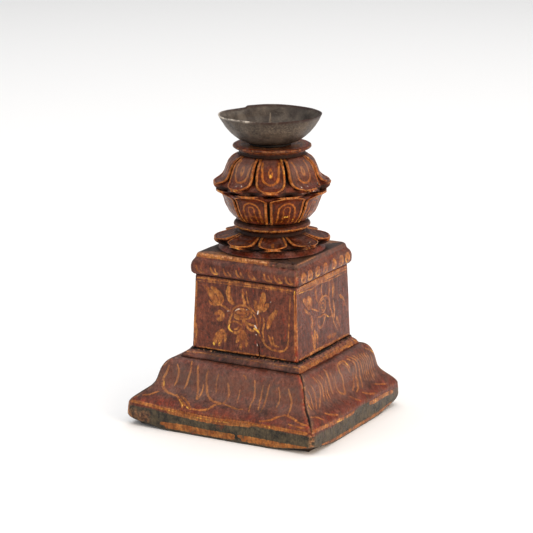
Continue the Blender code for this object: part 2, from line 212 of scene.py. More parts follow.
SPRAY_FRONT = [
    (1.5, [(-42, 56.6), (-20, 56.8), (0, 56.9), (20, 56.6), (42, 56.2)]),
    (0.5, [(-42, 54.2), (-15, 54.6), (10, 55), (40, 54.6)]),
    (1.2, [(-42.8, 54), (-43.4, 42), (-43.9, 30), (-44.4, 12)]),
    (1.3, [(-42.8, 20), (-43.2, 10), (-44, 3)]),
    (0.8, [(-40, 1.6), (-15, 1.4), (10, 1.8), (36, 1.4)]),
    (0.9, [(12, 20.4), (15, 15.5), (18.5, 11), (23, 8.4), (30, 7.4), (35.4, 9), (38, 14), (38.6, 24)]),
    (0.6, [(38.6, 20), (39, 35), (39.6, 52)]),
    (0.9, [(-11, 32.6), (-9, 36.6), (-4.5, 39.2), (0.5, 39.4), (4.6, 37.4), (7, 34)]),
    (0.8, [(-9, 31.8), (-7.4, 35), (-3, 36.6), (1.6, 35.6), (2.8, 33), (0.4, 31), (-4, 30.6), (-9, 31.8)]),
    (1.6, [(-6.6, 33.2), (-2.6, 33.8), (0.8, 33.4)]),
    (0.8, [(3.4, 36.4), (6, 33.6), (5, 30.6), (1, 29), (-4, 29.2), (-9.4, 30.6)]),
    (1.0, [(-10.6, 32.6), (-12, 28.6), (-13.6, 24.6), (-14.2, 21.6)]),
    (1.2, [(-12.6, 25), (-14.2, 21.6), (-13, 18.6), (-8.6, 16.9), (-5, 18), (-3, 20.6),
           (-1.6, 24.6), (-1.2, 28.6)]),
    (0.9, [(-12, 24.8), (-8.4, 25.8), (-5, 25.4), (-3, 23.6)]),
    (0.8, [(-9, 29), (-5.6, 28), (-2, 28.6)]),
    (0.8, [(-9.4, 19.6), (-6.4, 20.4), (-4.4, 22)]),
    (1.1, [(-0.6, 29.6), (1, 25.4), (3.6, 22), (7, 20.6), (10, 21.4)]),
    (0.9, [(0.6, 27.6), (4, 25.4), (8, 24.8), (10.4, 23)]),
    (0.9, [(7.4, 34), (9.8, 31), (11, 27), (10.4, 23.4)]),
    (0.8, [(12.4, 36), (13.8, 31.4), (13.8, 26), (12.4, 21)]),
    (0.8, [(16.6, 32), (17.2, 27), (16, 21), (17.6, 14)]),
    (1.4, [(-1.6, 52.4), (-1.2, 46), (0.2, 41), (2.2, 38.4)]),
    (0.7, [(1.6, 51.6), (2.4, 45), (4.4, 39.6), (7.6, 36.2), (10, 34.4)]),
    (2.3, [(-14, 52.6), (-14.4, 47.6), (-12.6, 42.6), (-9.6, 39.6)]),
    (2.4, [(-35.5, 51), (-31, 46.4), (-27.6, 41.4), (-24, 37.6)]),
    (2.4, [(-29, 50.4), (-23.6, 47), (-20.4, 42), (-22.4, 38)]),
    (2.0, [(-32, 48), (-27, 43.6), (-24.4, 40)]),
    (1.2, [(-31.6, 39.4), (-28.6, 37.2), (-24.6, 37)]),
    (0.9, [(-24, 38), (-18.4, 36.6), (-14, 34.2), (-10, 33.2)]),
    (2.1, [(-25.6, 29.6), (-21.8, 31.6), (-19.6, 29.4), (-21, 26.4), (-23.6, 25.4)]),
    (2.0, [(-20.6, 17.4), (-24.6, 11.6), (-27, 5)]),
    (2.0, [(-19.6, 17.8), (-21, 11.4), (-22.4, 5)]),
    (1.6, [(-18.6, 17.4), (-17, 13), (-17.2, 8.4)]),
    (1.7, [(-1.6, 19.4), (-4.8, 14), (-6.6, 9.6)]),
    (2.1, [(-0.4, 19.4), (-1.4, 12.4), (-3.2, 4.6)]),
    (1.6, [(0.8, 18.4), (1.8, 12.6), (1.6, 7.6)]),
    (2.0, [(12, 36.2), (10.2, 40.4), (9.2, 44.6)]),
    (2.4, [(13, 37), (14.4, 42), (16.2, 47), (16.6, 51.4)]),
    (2.0, [(14, 37), (18, 40), (20.4, 43)]),
    (2.3, [(20.4, 24.6), (22.4, 31), (25.6, 35.6), (28, 39)]),
    (1.4, [(21.2, 18.6), (23.4, 14), (26.4, 11.2), (30, 10.8)]),
    (1.0, [(24.6, 18), (25, 14), (26.6, 11.6)]),
    (0.6, [(43.4, 50), (43.7, 30), (44.2, 8)]),
    (1.2, [(43.2, 55), (43.6, 50)]),
]
SPRAY_FRONT_GLINTS = [
    (0.8, [(-13, 22.8), (-14, 20.6), (-12.8, 18.6), (-10.4, 17.4)]),
    (0.9, [(8.2, 22.6), (10.4, 22), (13.2, 19.4)]),
    (0.9, [(43.6, 56.4), (44.2, 54)]),
    (0.8, [(-27.4, 6.6), (-26.6, 4.6)]),
    (0.5, [(-22.6, 6), (-21.8, 7.4)]),
]
CHIPS_FRONT = [
    (0.55, [(12.2, 37.2), (11.4, 34)]),
    (0.65, [(9, 25.2), (11, 22.8)]),
    (0.4, [(10.4, 18.4), (11, 16.8)]),
    (0.35, [(-8.4, 34), (-6, 35.8), (-4, 36.4)]),
    (0.35, [(1.4, 36.4), (2.4, 36.8)]),
    (0.35, [(-15.4, 33.4), (-12.6, 33.6)]),
    (0.25, [(22, 44), (23.4, 46)]),
    (0.3, [(11, 11), (11.6, 9)]),
]
SPRAY_SIDE = [
    (1.3, [(-42, 57.0), (-20, 57.2), (0, 57.4), (20, 57.2), (42, 56.8)]),
    (1.3, [(-42, 55.0), (-20, 55.2), (0, 55.4), (20, 55.2), (42, 54.8)]),
    (0.7, [(-42, 53.4), (-25, 52.8), (-17, 52.2), (-8, 53.6), (4, 53.2), (14, 52.6), (41, 52.8)]),
    (1.3, [(-41, 2.0), (-15, 2.2), (10, 1.8), (41, 2.2)]),
    (1.2, [(-11, 51.6), (-11, 45.6), (-9.4, 40)]),
    (1.0, [(-1.2, 51.8), (-2, 46), (-0.8, 42.4)]),
    (1.0, [(11, 52.8), (11.6, 46), (10.2, 40), (11, 34), (13.6, 27), (17, 18), (23, 9.6)]),
    (2.2, [(16.4, 51), (18, 45), (17.4, 38)]),
    (0.7, [(-7.4, 38.6), (-2, 41.6), (4, 42), (8, 40.2), (10, 36.6)]),
    (0.75, [(-6.8, 31), (-6.2, 36), (-3, 39.4), (2, 39.4), (4.6, 36), (3.8, 31.8), (0, 29.8), (-4, 30.2)]),
    (0.65, [(-4, 33), (-2.6, 36.6), (0.6, 37), (2.2, 34.4), (0.6, 31.8), (-2, 32), (-1.6, 34.4)]),
    (0.8, [(-10.4, 28.4), (-5, 27.2), (0, 27.8), (3.4, 27)]),
    (0.9, [(-10.4, 28), (-10.2, 23.4), (-8, 20.4), (-4.6, 19.4), (-0.8, 20.2), (2, 23.4), (3.4, 27)]),
    (0.8, [(3.2, 28), (6, 25.4), (10.6, 23.4), (14, 24)]),
    (1.0, [(-9.6, 19.6), (-5, 18.2), (-0.6, 19)]),
    (2.6, [(-31.6, 46.8), (-26.6, 42.6), (-22, 37.6)]),
    (2.4, [(-25, 47), (-20.4, 43.6), (-19.4, 39)]),
    (1.2, [(-31, 39.4), (-26, 35.4), (-22, 33.4)]),
    (0.8, [(-21, 37.6), (-13, 34.4), (-7, 32)]),
    (2.1, [(-20.4, 31.4), (-19.4, 26), (-19.6, 20.8)]),
    (1.7, [(-20, 16), (-17.6, 10.4), (-16, 3.6)]),
    (2.1, [(-15.6, 18.6), (-15.4, 12), (-15.4, 5)]),
    (1.5, [(-12.4, 17), (-11, 12.4), (-11, 7.6)]),
    (1.7, [(17, 35.4), (18.2, 29), (17.6, 21)]),
    (1.5, [(26, 37.6), (30, 35.6), (35, 31.4), (37.2, 26.6)]),
    (1.6, [(22, 21), (24, 16), (26.4, 11.6)]),
    (1.9, [(6, 8.4), (13, 7.2), (20, 7.6)]),
    (1.0, [(-43.4, 50), (-43.6, 30), (-44, 10)]),
]
SPRAY_SIDE_GLINTS = [
    (0.5, [(-2.6, 33.4), (-1.2, 34.6)]),
    (0.4, [(-38, 53.4), (-30, 53)]),
    (0.5, [(6, 25.2), (9, 24)]),
]

# The base's lappets and swags: x from the middle of the base, y up along the surface from the floor

LAPPETS_FRONT = [
    (0.9, [(-53.6, 53), (-54.6, 48), (-57, 42.6), (-56.4, 37), (-52, 33), (-46, 31), (-40.4, 30.2)]),
    (0.7, [(-46.6, 55), (-44.2, 50), (-44.6, 44), (-46.8, 38)]),
    (0.7, [(-35.4, 60), (-34, 52), (-35.4, 44), (-37.2, 37)]),
    (0.9, [(-42, 31.4), (-37, 27), (-34, 23.4), (-31.4, 20.4)]),
    (0.8, [(-39.6, 29.6), (-34, 25.6), (-30, 23), (-26, 20.6)]),
    (0.8, [(-38, 31), (-31.4, 27.4), (-27.4, 24), (-24.4, 20.6)]),
    (0.9, [(-28.6, 57), (-27.2, 50), (-26, 42), (-24.2, 34), (-23.2, 29.6)]),
    (0.5, [(-21.4, 43), (-21.4, 36), (-22, 30)]),
    (0.8, [(-19, 55), (-19, 46), (-17, 38), (-13, 32.8), (-8, 30.4), (-1.6, 30)]),
    (0.8, [(-23, 21), (-14.6, 21.6), (-10, 23.4), (-6, 27.6), (0, 30.2)]),
    (0.6, [(0, 30), (8, 28.4), (14, 27.4), (20, 28.4)]),
    (0.8, [(0, 47), (1.8, 41), (2.2, 35), (0.8, 30.6)]),
    (0.5, [(-9, 53), (-10, 45), (-9, 37)]),
    (0.5, [(12, 55), (14.4, 53.6), (15.6, 51.4)]),
    (0.5, [(11.4, 44), (10.8, 38), (11.6, 33)]),
    (0.6, [(23, 52), (24.2, 42), (23.4, 33), (24, 26)]),
    (0.5, [(31, 50), (30, 40), (31, 30)]),
    (0.6, [(36, 51), (34.6, 40), (34, 28)]),
    (0.5, [(44, 50), (46, 42), (45, 33)]),
    (0.7, [(52.4, 49.6), (54.6, 45), (56.6, 39), (57, 29)]),
    (0.8, [(36, 20.4), (44, 22.6), (49, 26), (54, 28.6)]),
    (0.8, [(54, 29.4), (62, 27.4), (69, 24.4), (77, 23)]),
    (0.6, [(-70, 26), (-64, 28), (-58, 31.6)]),
    (0.6, [(60, 22), (68, 21), (75, 20.6)]),
]
LAPPETS_FRONT_GLINTS = [
    (0.5, [(-38, 27.4), (-34.6, 24.6), (-32.4, 22)]),
    (0.4, [(-56.4, 41), (-55.4, 37)]),
    (0.5, [(-29.4, 22.4), (-26.4, 20.8)]),
]
LAPPETS_SIDE = [
    (0.7, [(-47.4, 51), (-44.2, 45), (-45, 38), (-50, 32.6)]),
    (0.7, [(-40, 56), (-35.4, 48.6), (-35.2, 42), (-40, 36), (-46, 32)]),
    (0.7, [(-36, 54), (-31.2, 46.6), (-31, 40), (-34.2, 33.6)]),
    (1.1, [(-59, 46), (-56, 40), (-56.6, 33.6)]),
    (1.2, [(-20, 57), (-19.2, 48), (-18, 37)]),
    (0.6, [(-25, 50), (-24, 42), (-25, 34)]),
    (0.9, [(-10, 48), (-10.2, 41), (-8.8, 35), (-5, 32), (-1, 33.6), (2, 41), (1.4, 47)]),
    (0.9, [(1.4, 46), (-1, 50), (-1, 54), (4, 55.6), (11, 55.2), (14.4, 52), (17, 48)]),
    (0.6, [(8, 54), (13, 50), (15, 45)]),
    (0.7, [(8, 31), (14, 33.6), (18, 37.6), (20, 43)]),
    (0.6, [(11, 28), (17, 30.6), (22, 36), (23, 43)]),
    (0.7, [(17, 55.6), (24.6, 51), (26, 43), (23, 35), (16, 29)]),
    (0.7, [(20, 57), (29.6, 50.6), (31, 43), (28, 34), (22, 28.6)]),
    (0.6, [(27, 56), (34.6, 49), (35.4, 41), (33, 33)]),
    (0.6, [(36, 55), (41, 48), (41.4, 40), (38.6, 31)]),
    (0.6, [(44, 53), (48, 45), (47.6, 37), (45, 30)]),
    (0.8, [(50, 56), (56, 53), (60, 49)]),
    (0.9, [(-45, 26.4), (-38.6, 22.8), (-31.6, 20.6)]),
    (0.7, [(0, 28), (3.4, 24), (8.4, 20.8)]),
    (0.7, [(18, 26), (25, 22), (33, 20.2)]),
    (0.6, [(-66, 30), (-58, 27), (-52, 22)]),
    (0.6, [(40, 27), (48, 24), (56, 22)]),
    (0.45, [(-57, 52), (-51.6, 45), (-51.4, 38), (-54, 33)]),
    (0.45, [(-30, 55), (-26.4, 48), (-27, 40), (-29.6, 33)]),
    (0.45, [(-15, 53), (-13, 46), (-13.4, 38)]),
    (0.45, [(31.4, 55.6), (37.8, 49), (38.4, 41), (35.8, 32)]),
    (0.45, [(40, 54), (44.4, 47), (44.2, 38.6), (41.6, 30.6)]),
    (0.45, [(48, 52), (51, 45), (50.6, 37), (48, 31)]),
    (0.45, [(53, 50), (55, 43), (54.4, 36)]),
]
LAPPETS_SIDE_GLINTS = [
    (0.5, [(56, 52.6), (59.4, 49.6)]),
    (0.4, [(-1, 53.6), (0, 50)]),
    (0.5, [(13, 53), (15.4, 50)]),
    (0.4, [(-57, 39), (-56.8, 35)]),
]
PLINTH_LINE_FRONT = [
    (1.0, [(-77, 19.4), (-66, 19), (-54, 18), (-42, 17)]),
    (1.3, [(-46, 17.2), (-30, 16.6), (-12, 15.6), (2, 15.8), (16, 16.6), (30, 17.2)]),
    (1.0, [(-44, 15.4), (-30, 14.6), (-12, 13.6), (2, 13.8), (16, 14.8), (28, 15.6)]),
    (1.1, [(24, 16.8), (40, 17.2), (58, 17), (77, 16.8)]),
    (1.2, [(-50, 5.6), (-30, 6), (-8, 5.2), (14, 5.6)]),
    (1.1, [(-46, 3.4), (-30, 3.6), (-8, 3.2), (14, 3.4)]),
    (1.2, [(19, 5.8), (40, 5.4), (60, 4.8), (76, 4.2)]),
    (1.0, [(22, 3.4), (40, 3.2), (60, 2.8), (76, 2.6)]),
]
PLINTH_GLINTS_FRONT = [
    (0.3, [(-30, 15.6), (-16, 15.0), (-4, 14.8), (12, 15.4)]),
    (0.25, [(-50, 17.4), (-44, 17), (-36, 16.6)]),
    (0.25, [(30, 16.8), (42, 17.2), (56, 17)]),
]
PLINTH_LINE_SIDE = [
    (1.1, [(-74, 18.4), (-60, 18), (-44, 16.8), (-24, 15.6)]),
    (0.8, [(-20, 15.4), (-14, 15), (-6, 15.4)]),
    (1.3, [(22, 14.8), (34, 14.2), (48, 14.4), (62, 13.4)]),
    (1.1, [(-60, 3.0), (-20, 2.6), (20, 2.6), (60, 3.2)]),
]
PLINTH_GLINTS_SIDE = [
    (0.4, [(-36, 15.8), (-30, 15.2), (-25, 15.2)]),
    (0.3, [(28, 14.4), (34, 14)]),
]
BASE_FRONT = (LAPPETS_FRONT, PLINTH_LINE_FRONT, LAPPETS_FRONT_GLINTS + PLINTH_GLINTS_FRONT)
BASE_SIDE = (LAPPETS_SIDE, PLINTH_LINE_SIDE, LAPPETS_SIDE_GLINTS + PLINTH_GLINTS_SIDE)


# Mesh building

SHARP_ANGLE = math.radians(55)


def finish_piece(name, bm, attributes, nodes, body="stand", slot="red_lacquer"):
    """Turns a bmesh in mm into a shown piece with its paint attributes, riding on a body."""
    bmesh.ops.recalc_face_normals(bm, faces=bm.faces)
    mesh = bpy.data.meshes.new(name)
    bm.to_mesh(mesh)
    bm.free()
    mesh.transform(Matrix.Scale(MM, 4))
    for key, values in attributes.items():
        layer = mesh.attributes.new(key, "FLOAT", "POINT")
        layer.data.foreach_set("value", np.asarray(values, np.float32).ravel())
    mesh.shade_smooth()
    mesh.set_sharp_from_angle(angle=SHARP_ANGLE)
    mesh.materials.append(FINISHES[slot])
    piece = bpy.data.objects.new(name, mesh)
    bpy.context.scene.collection.objects.link(piece)
    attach(piece, body)
    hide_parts(*nodes)


def sheet_mesh(points, wrap_columns=True, wrap_rows=True):
    """A closed bmesh from rows by columns of points. Rows or columns that don't wrap get flat end faces."""
    rows, columns = points.shape[:2]
    bm = bmesh.new()
    verts = [[bm.verts.new(point) for point in row] for row in points]
    for i in range(rows if wrap_rows else rows - 1):
        for j in range(columns if wrap_columns else columns - 1):
            k, m = (i + 1) % rows, (j + 1) % columns
            bm.faces.new((verts[i][j], verts[i][m], verts[k][m], verts[k][j]))
    if not wrap_columns:
        bm.faces.new([row[0] for row in verts])
        bm.faces.new([row[-1] for row in reversed(verts)])
    if not wrap_rows:
        bm.faces.new(verts[0])
        bm.faces.new(verts[-1][::-1])
    return bm


# Boards: sheets laid along the sides of a rectangle

def ends_of(side, rects):
    """How far out a side of each rectangle (x low, x high, y low, y high) lies, and its two ends along it."""
    x_low, x_high, y_low, y_high = rects.T
    return {
        "front": (-y_low, x_low, x_high),
        "right": (x_high, y_low, y_high),
        "back": (y_high, -x_high, -x_low),
        "left": (-x_low, -y_high, -y_low),
    }[side]


def place(side, along, out, z):
    """World points from places along a side, out from the origin and up."""
    x, y = {
        "front": (along, -out),
        "right": (out, along),
        "back": (-along, out),
        "left": (-out, -along),
    }[side]
    return np.stack([x, y, z], axis=-1)


def side_sheet(side, rects, heights, rounding, shares):
    """Places along, out and up for a sheet on one side, its ends rounded and meeting on the mitre."""
    out, start, end = (value[:, None] for value in ends_of(side, rects))
    rounding = np.maximum(rounding, 1e-3)[:, None]
    inset = (1 - math.sqrt(0.5)) * rounding
    along = start + inset + shares[None, :] * (end - start - 2 * inset)
    from_end = np.minimum(along - start, end - along)
    dip = np.clip(rounding - from_end, 0, rounding)
    out = out - (rounding - np.sqrt(rounding ** 2 - dip ** 2))
    return along, out, heights[:, None] + 0 * along


def end_heavy(count):
    """Shares from 0 to 1 that crowd towards both ends."""
    even = np.linspace(0, 1, count)
    return 0.45 * even + 0.55 * (0.5 - 0.5 * np.cos(math.pi * even))


def rect_of(low, high):
    """A box's rectangle, as (x low, x high, y low, y high)."""
    return np.array([low[0], high[0], low[1], high[1]])


def board_all_round(name, node, one_side):
    """A board as one sheet round its four sides. one_side gives a side's points and paint attributes."""
    sheets, paints = zip(*(one_side(side) for side in SIDES))
    attributes = {key: np.concatenate([paint[key] for paint in paints], axis=1) for key in paints[0]}
    finish_piece(name, sheet_mesh(np.concatenate(sheets, axis=1), wrap_rows=False), attributes, [node])


# The base's moulding: (reach from the dado's face to the plinth's edge, height)
MOULDING_FACE = [
    (0.02, 52.2), (0.17, 52.3), (0.20, 52.8), (0.225, 53.3), (0.25, 53.3), (0.285, 52.9), (0.32, 52.1),
    (0.365, 51.0), (0.405, 49.7), (0.438, 47.9), (0.468, 45.9), (0.496, 43.3), (0.52, 40.2), (0.543, 36.9),
    (0.572, 33.4), (0.63, 30.4), (0.72, 27.5), (0.82, 24.6), (0.90, 22.2), (0.95, 20.4), (0.985, 18.4),
    (0.995, 14.4), (1.0, 10.0), (1.0, 4.0), (0.992, 1.2), (0.972, 0.0),
]
MOULDING_INSIDE = [(0.76, 0.0), (0.62, 0.0), (0.60, 3.0), (0.60, 18.0), (0.05, 46.0), (0.02, 47.0)]
CORNER_ROUND = 4.0
CORNER_WEAR = 11.0
WEAR_HEIGHT = 9.0
FACE_ROWS = 96
MOULDING_COLUMNS = 190


def base_rects(reach):
    """The rectangles at a reach between the dado's foot and the plinth's outer edge."""
    inner = rect_of(DADO_LOW, DADO_HIGH)
    outer = rect_of(BASE_LOW, BASE_HIGH)
    return inner + reach[:, None] * (outer - inner)


def base_moulding(side):
    """One mitred board of the base: down its moulded face and back up its hollow inside."""
    face, _ = resample(MOULDING_FACE, FACE_ROWS, soften=0.5)
    inside = np.array(MOULDING_INSIDE)
    reach, heights = np.concatenate([face, inside]).T
    outside = np.concatenate([np.ones(len(face)), np.zeros(len(inside))])[:, None]
    low_down = limit(1 - heights / WEAR_HEIGHT) ** 1.5
    rounding = outside[:, 0] * np.clip(reach, 0.1, 1) * (CORNER_ROUND + CORNER_WEAR * low_down)
    along, out, z = side_sheet(side, base_rects(reach), heights, rounding, end_heavy(MOULDING_COLUMNS))
    climb = np.concatenate([surface_climb(side, face), np.zeros(len(inside))])[:, None] + 0 * along
    from_start = along - along.min(axis=1, keepdims=True)
    to_end = np.minimum(from_start, along.max(axis=1, keepdims=True) - along)
    floor_wear = ease(1 - to_end / 36) * low_down[:, None]
    z = z + outside * floor_wear * 4.2
    point = place(side, along, out, z)
    ripple = 0.35 * waver_at(point, 34, 11) + 0.16 * waver_at(point, 11, 12)
    dent = limit(waver_at(point, 9, 13) - 0.55)
    out = out - outside * (0.35 + ripple * 0.8 + bump_at(climb, 18, 3) * dent * 1.3)
    attributes = moulding_paint(side, along, climb, to_end, outside)
    out, along = open_mitre(side, along, out, z, to_end)
    plinth = ends_of(side, base_rects(np.array([1.0])))[0]
    points = place(side, along, np.minimum(out, plinth), z)
    nodes = [f"base_moulding_{side}"]
    if side in ("front", "back"):
        nodes += [f"mitre_nail_{side}_left", f"mitre_nail_{side}_right"]
    finish_piece(f"{side}_moulding", sheet_mesh(points, wrap_columns=False), attributes, nodes)


def surface_climb(side, face):
    """How far up the moulding's surface each row is from the floor, in mm."""
    out = ends_of(side, base_rects(face[:, 0]))[0]
    steps = np.hypot(np.diff(out), np.diff(face[:, 1]))
    length = np.r_[0, np.cumsum(steps)]
    return length[-1] - length


def open_mitre(side, along, out, z, to_end):
    """The joint on the front right corner has opened: the front board's end has shrunk back from it."""
    if side == "front":
        above = ease((z - 17) / 6)
        ragged = 0.75 + 0.35 * np.sin(z * 0.9) + 0.2 * np.sin(z * 2.3 + 1)
        at_end = (along > 0) * ease(1 - to_end / 2.5)
        along = along - at_end * (above * ragged)
        out = out - at_end * 0.4 * above
    return out, along


def moulding_paint(side, along, climb, to_end, outside):
    """A moulding's painting, the olive band on its plinth, its grime and wear, and its painted shade, sheen
    and highlights.
    """
    painting = BASE_FRONT if side in ("front", "back") else BASE_SIDE
    if side in ("back", "left"):
        painting = [flipped(strokes) for strokes in painting]
    lappets, plinth, glints = painting
    at_front = side == "front"
    gold = np.maximum(ink(along, climb, lappets) + 0.2, ink(along, climb, plinth, dry=0.8) + 0.4)
    top = climb.max()
    band_top = 15.6 + 1.2 * np.sin(along / 19 + SIDES.index(side)) + 0.5 * np.sin(along / 5.3)
    olive = ease((band_top - climb) / 1.2 + 0.5)
    # Painted shade: the hollow under the ledge, a line along the floor, dark smears on the slope and the
    # hidden inside of the board
    cove_shade = bump_at(climb, top - 7.5, 4.0) * 0.45
    seam = ease(1 - to_end / 1.6) * ease((climb - 16) / 4) * 0.7
    floor_shadow_line = ease(1 - climb / 1.6) * 0.6
    shade = bump_at(climb, 29, 9) * limit(0.8 + 0.4 * waver(along, 0, 0, 16, 15))
    slope = bump_at(climb, 22, 6) * 0.45
    edge = bump_at(climb, top - 12, 1.4) * 0.35
    above_plinth = ease((climb - 18) / 6)
    by_crack = (along > 0 if at_front else along < 0) * ease(1 - to_end / 6) * above_plinth
    pitted = at_front * ease((-58 - along) / 6) * ease(1 - np.abs(climb - 8) / 8)
    dot = bump_at(along, 63, 0.9) * bump_at(climb, 8.6, 0.9) * at_front
    flecks = 3 * dot + bump_at(climb, 22, 4) * limit(waver(along, climb, 0, 8, 14) - 0.5)
    # Wear, with a painted highlight along the plinth's top edge and by the board ends
    worn = bump_at(climb, 18.8, 1.0) * 0.2 + ease(1 - to_end / 4) * 0.6 + 0.5 * pitted
    # Painted sheen on the convex shoulder and above the slope, and a painted highlight near one end of each
    # other board, beside the opened mitre on the right one
    film = 0.8 * bump_at(climb, 46, 9) + 0.3 * bump_at(climb, 33, 6) + 0.8 * by_crack * (not at_front)
    return {
        "gold": only(outside > 0, gold - 2.4 * pitted),
        "glint": only(outside > 0, ink(along, climb, glints)),
        "chip": np.full(along.shape, NO_PAINT),
        "olive": olive * outside * (1 - 0.35 * pitted),
        "dirt": limit(cove_shade + seam + floor_shadow_line + (1 - outside) + 0.4 * pitted + 0.42 * shade),
        "red": limit(slope + edge + by_crack * at_front) * outside,
        "worn": limit(worn) * outside,
        "film": limit(film) * outside,
        "amber": (0.5 * bump_at(climb, 5, 4) + 0.6 * bump_at(climb, 26, 8)) * outside,
        "vermilion": limit(0.5 * by_crack * at_front + flecks) * outside,
    }


# The deck board under the dado: (reach, height) round its edge
DECK_EDGE = [
    (-0.05, 59.2), (0.01, 59.2), (0.035, 58.8), (0.075, 58.2), (0.11, 57.4), (0.145, 56.4),
    (0.17, 55.4), (0.19, 54.4), (0.20, 53.6), (0.20, 52.9), (0.19, 52.5), (-0.05, 52.5),
]
DECK_ROWS = 34
DECK_ROUND = 3.0
BOARD_COLUMNS = 150


def deck_board():
    """The ledge, as one sheet round all four sides."""
    edge, _ = resample(DECK_EDGE[:-1], DECK_ROWS, soften=0.35)
    reach, heights = np.concatenate([edge, DECK_EDGE[-1:]]).T
    board_all_round("deck_ledge", "deck_board", lambda side: deck_side(side, reach, heights))


def deck_side(side, reach, heights):
    """One side of the ledge, uneven along its edge and crusted against the dado, and its paint."""
    rounding = np.full(len(reach), DECK_ROUND)
    along, out, z = side_sheet(side, base_rects(reach), heights, rounding, end_heavy(BOARD_COLUMNS)[:-1])
    reach = reach[:, None]
    point = place(side, along, out, z)
    rough = 0.4 * waver_at(point, 6, 21) + 0.35 * waver_at(point, 21, 22)
    outer = ease((reach - 0.03) / 0.05)
    crust = limit(bump_at(reach, 0.034, 0.026) * (0.5 + 1.2 * waver_at(point, 2.4, 24)))
    out = out + outer * (rough - 0.5) + 0.5 * crust
    z = z + outer * ease((z - 53) / 2) * 0.25 * waver_at(point, 5, 23) + 1.1 * crust
    z = np.minimum(z, DECK_TOP + 0.9)
    return place(side, along, out, z), deck_paint(side, along, reach, z)


def deck_paint(side, along, reach, z):
    """The ledge's thin lines, its bright lip on the narrower sides, the grime packed against the dado and
    painted shade under the lip.
    """
    paint = plain_paint(along.shape)
    bright = 1.0 if side in ("right", "left") else 0.0
    patchy = 0.5 * waver(along, z, 0, 14, 25)
    lip = 1.4 * bright - 0.1 - np.abs(z - 55.2) + patchy
    line = 0.3 - np.abs(z - 57.1 - 0.25 * np.sin(along / 6)) * 1.6 + patchy
    paint["gold"] = only(reach > 0.06, np.maximum(lip, line))
    packed = ease(1 - (reach - 0.04 - 0.012 * bright) / 0.03)
    # Painted shade under the lip of the ledge
    under = ease(1 - (z - 53.0) / 1.4) * 0.3
    grime = (1 - bright) * (0.42 + 0.25 * waver(along, z, 0, 18, 27))
    specks = packed * (waver(along, z, 0, 2.2, 26) > 0.35)
    paint["worn"] = limit(bump_at(z, 57.2, 0.7) * 0.4 + specks)
    paint["dirt"] = limit(packed + under + grime) * (1 - 0.6 * specks)
    # Painted sheen along the front and back of the ledge
    paint["film"] = (1 - bright) * ease((reach - 0.05) / 0.03) * 0.15 + 0 * along
    return paint


def plain_paint(shape):
    """Attributes for bare lacquer, which a piece then adds to."""
    paint = {key: np.zeros(shape) for key in ("olive", "dirt", "red", "worn", "film", "amber", "vermilion")}
    paint.update({key: np.full(shape, NO_PAINT) for key in ("gold", "glint", "chip")})
    return paint


# The dado's four boards
DADO_ROWS = 118
DADO_COLUMNS = 176
DADO_FACE = 92
DADO_EDGE_ROUND = 1.1
SPLIT_AT = 12.6


def dado_rects(heights, inset):
    """The rectangles at heights up the dado, which tapers, set in from its faces."""
    rise = ((heights - DADO_LOW[2]) / DADO_HEIGHT)[:, None]
    taper = np.array([DADO_TAPER[0], -DADO_TAPER[0], DADO_TAPER[1], -DADO_TAPER[1]])
    board = np.array([1, -1, 1, -1]) * np.reshape(inset, (-1, 1))
    return rect_of(DADO_LOW, DADO_HIGH) + rise * taper + board


def dado_columns():
    """Columns along a face, with extra ones round the split in its lower half."""
    crack = np.linspace(-1.2, 1.2, 17) / DADO_FACE + SPLIT_AT / DADO_FACE + 0.5
    return np.sort(np.concatenate([end_heavy(DADO_COLUMNS), crack]))


def dado_panel(side):
    """One board of the dado: up its face and back down its inside."""
    face_z = np.linspace(DADO_LOW[2], DADO_HIGH[2], DADO_ROWS)
    heights = np.concatenate([face_z, face_z[[-1, 0]]])
    inset = np.concatenate([np.zeros(DADO_ROWS), [DADO_BOARD, DADO_BOARD]])
    outside = (inset == 0).astype(float)[:, None]
    rounding = np.where(inset == 0, DADO_EDGE_ROUND, 0.0)
    along, out, z = side_sheet(side, dado_rects(heights, inset), heights, rounding, dado_columns())
    point = place(side, along, out, z)
    uneven = 0.22 * waver_at(point, 30, 31) + 0.1 * waver_at(point, 8, 32)
    height = z - DADO_LOW[2]
    split = split_depth(side, along, height)
    nibbled = limit(waver(along, 0, 0, 3.2, 33) - 0.35) * ease(1 - height / 2.6)
    ends = bump_at(height, 0, 0.7) + bump_at(height, DADO_HEIGHT, 0.7)
    out = out + outside * (0.25 - uneven)
    out = out - outside * 0.9 * split
    out = out - outside * (0.35 * ends + 0.9 * nibbled)
    flip = -1 if side in ("back", "left") else 1
    attributes = dado_paint(side, along * flip, height, split + nibbled, outside)
    sheet = sheet_mesh(place(side, along, out, z), wrap_columns=False)
    finish_piece(f"{side}_panel", sheet, attributes, [f"dado_panel_{side}"])


def split_depth(side, along, height):
    """The split that runs up from the foot of the front face, with a short one down from the top."""
    if side != "front":
        return 0 * along
    stem_x = along - STEM_X
    path = SPLIT_AT + 0.5 * np.sin(height / 3.1) + 0.25 * np.sin(height / 1.1)
    lower = bump_at(stem_x, path, 0.34) * ease((13 - height) / 5)
    upper = bump_at(stem_x, path + 3.4, 0.22) * ease((height - 50) / 4) * 0.7
    return limit(lower + upper)


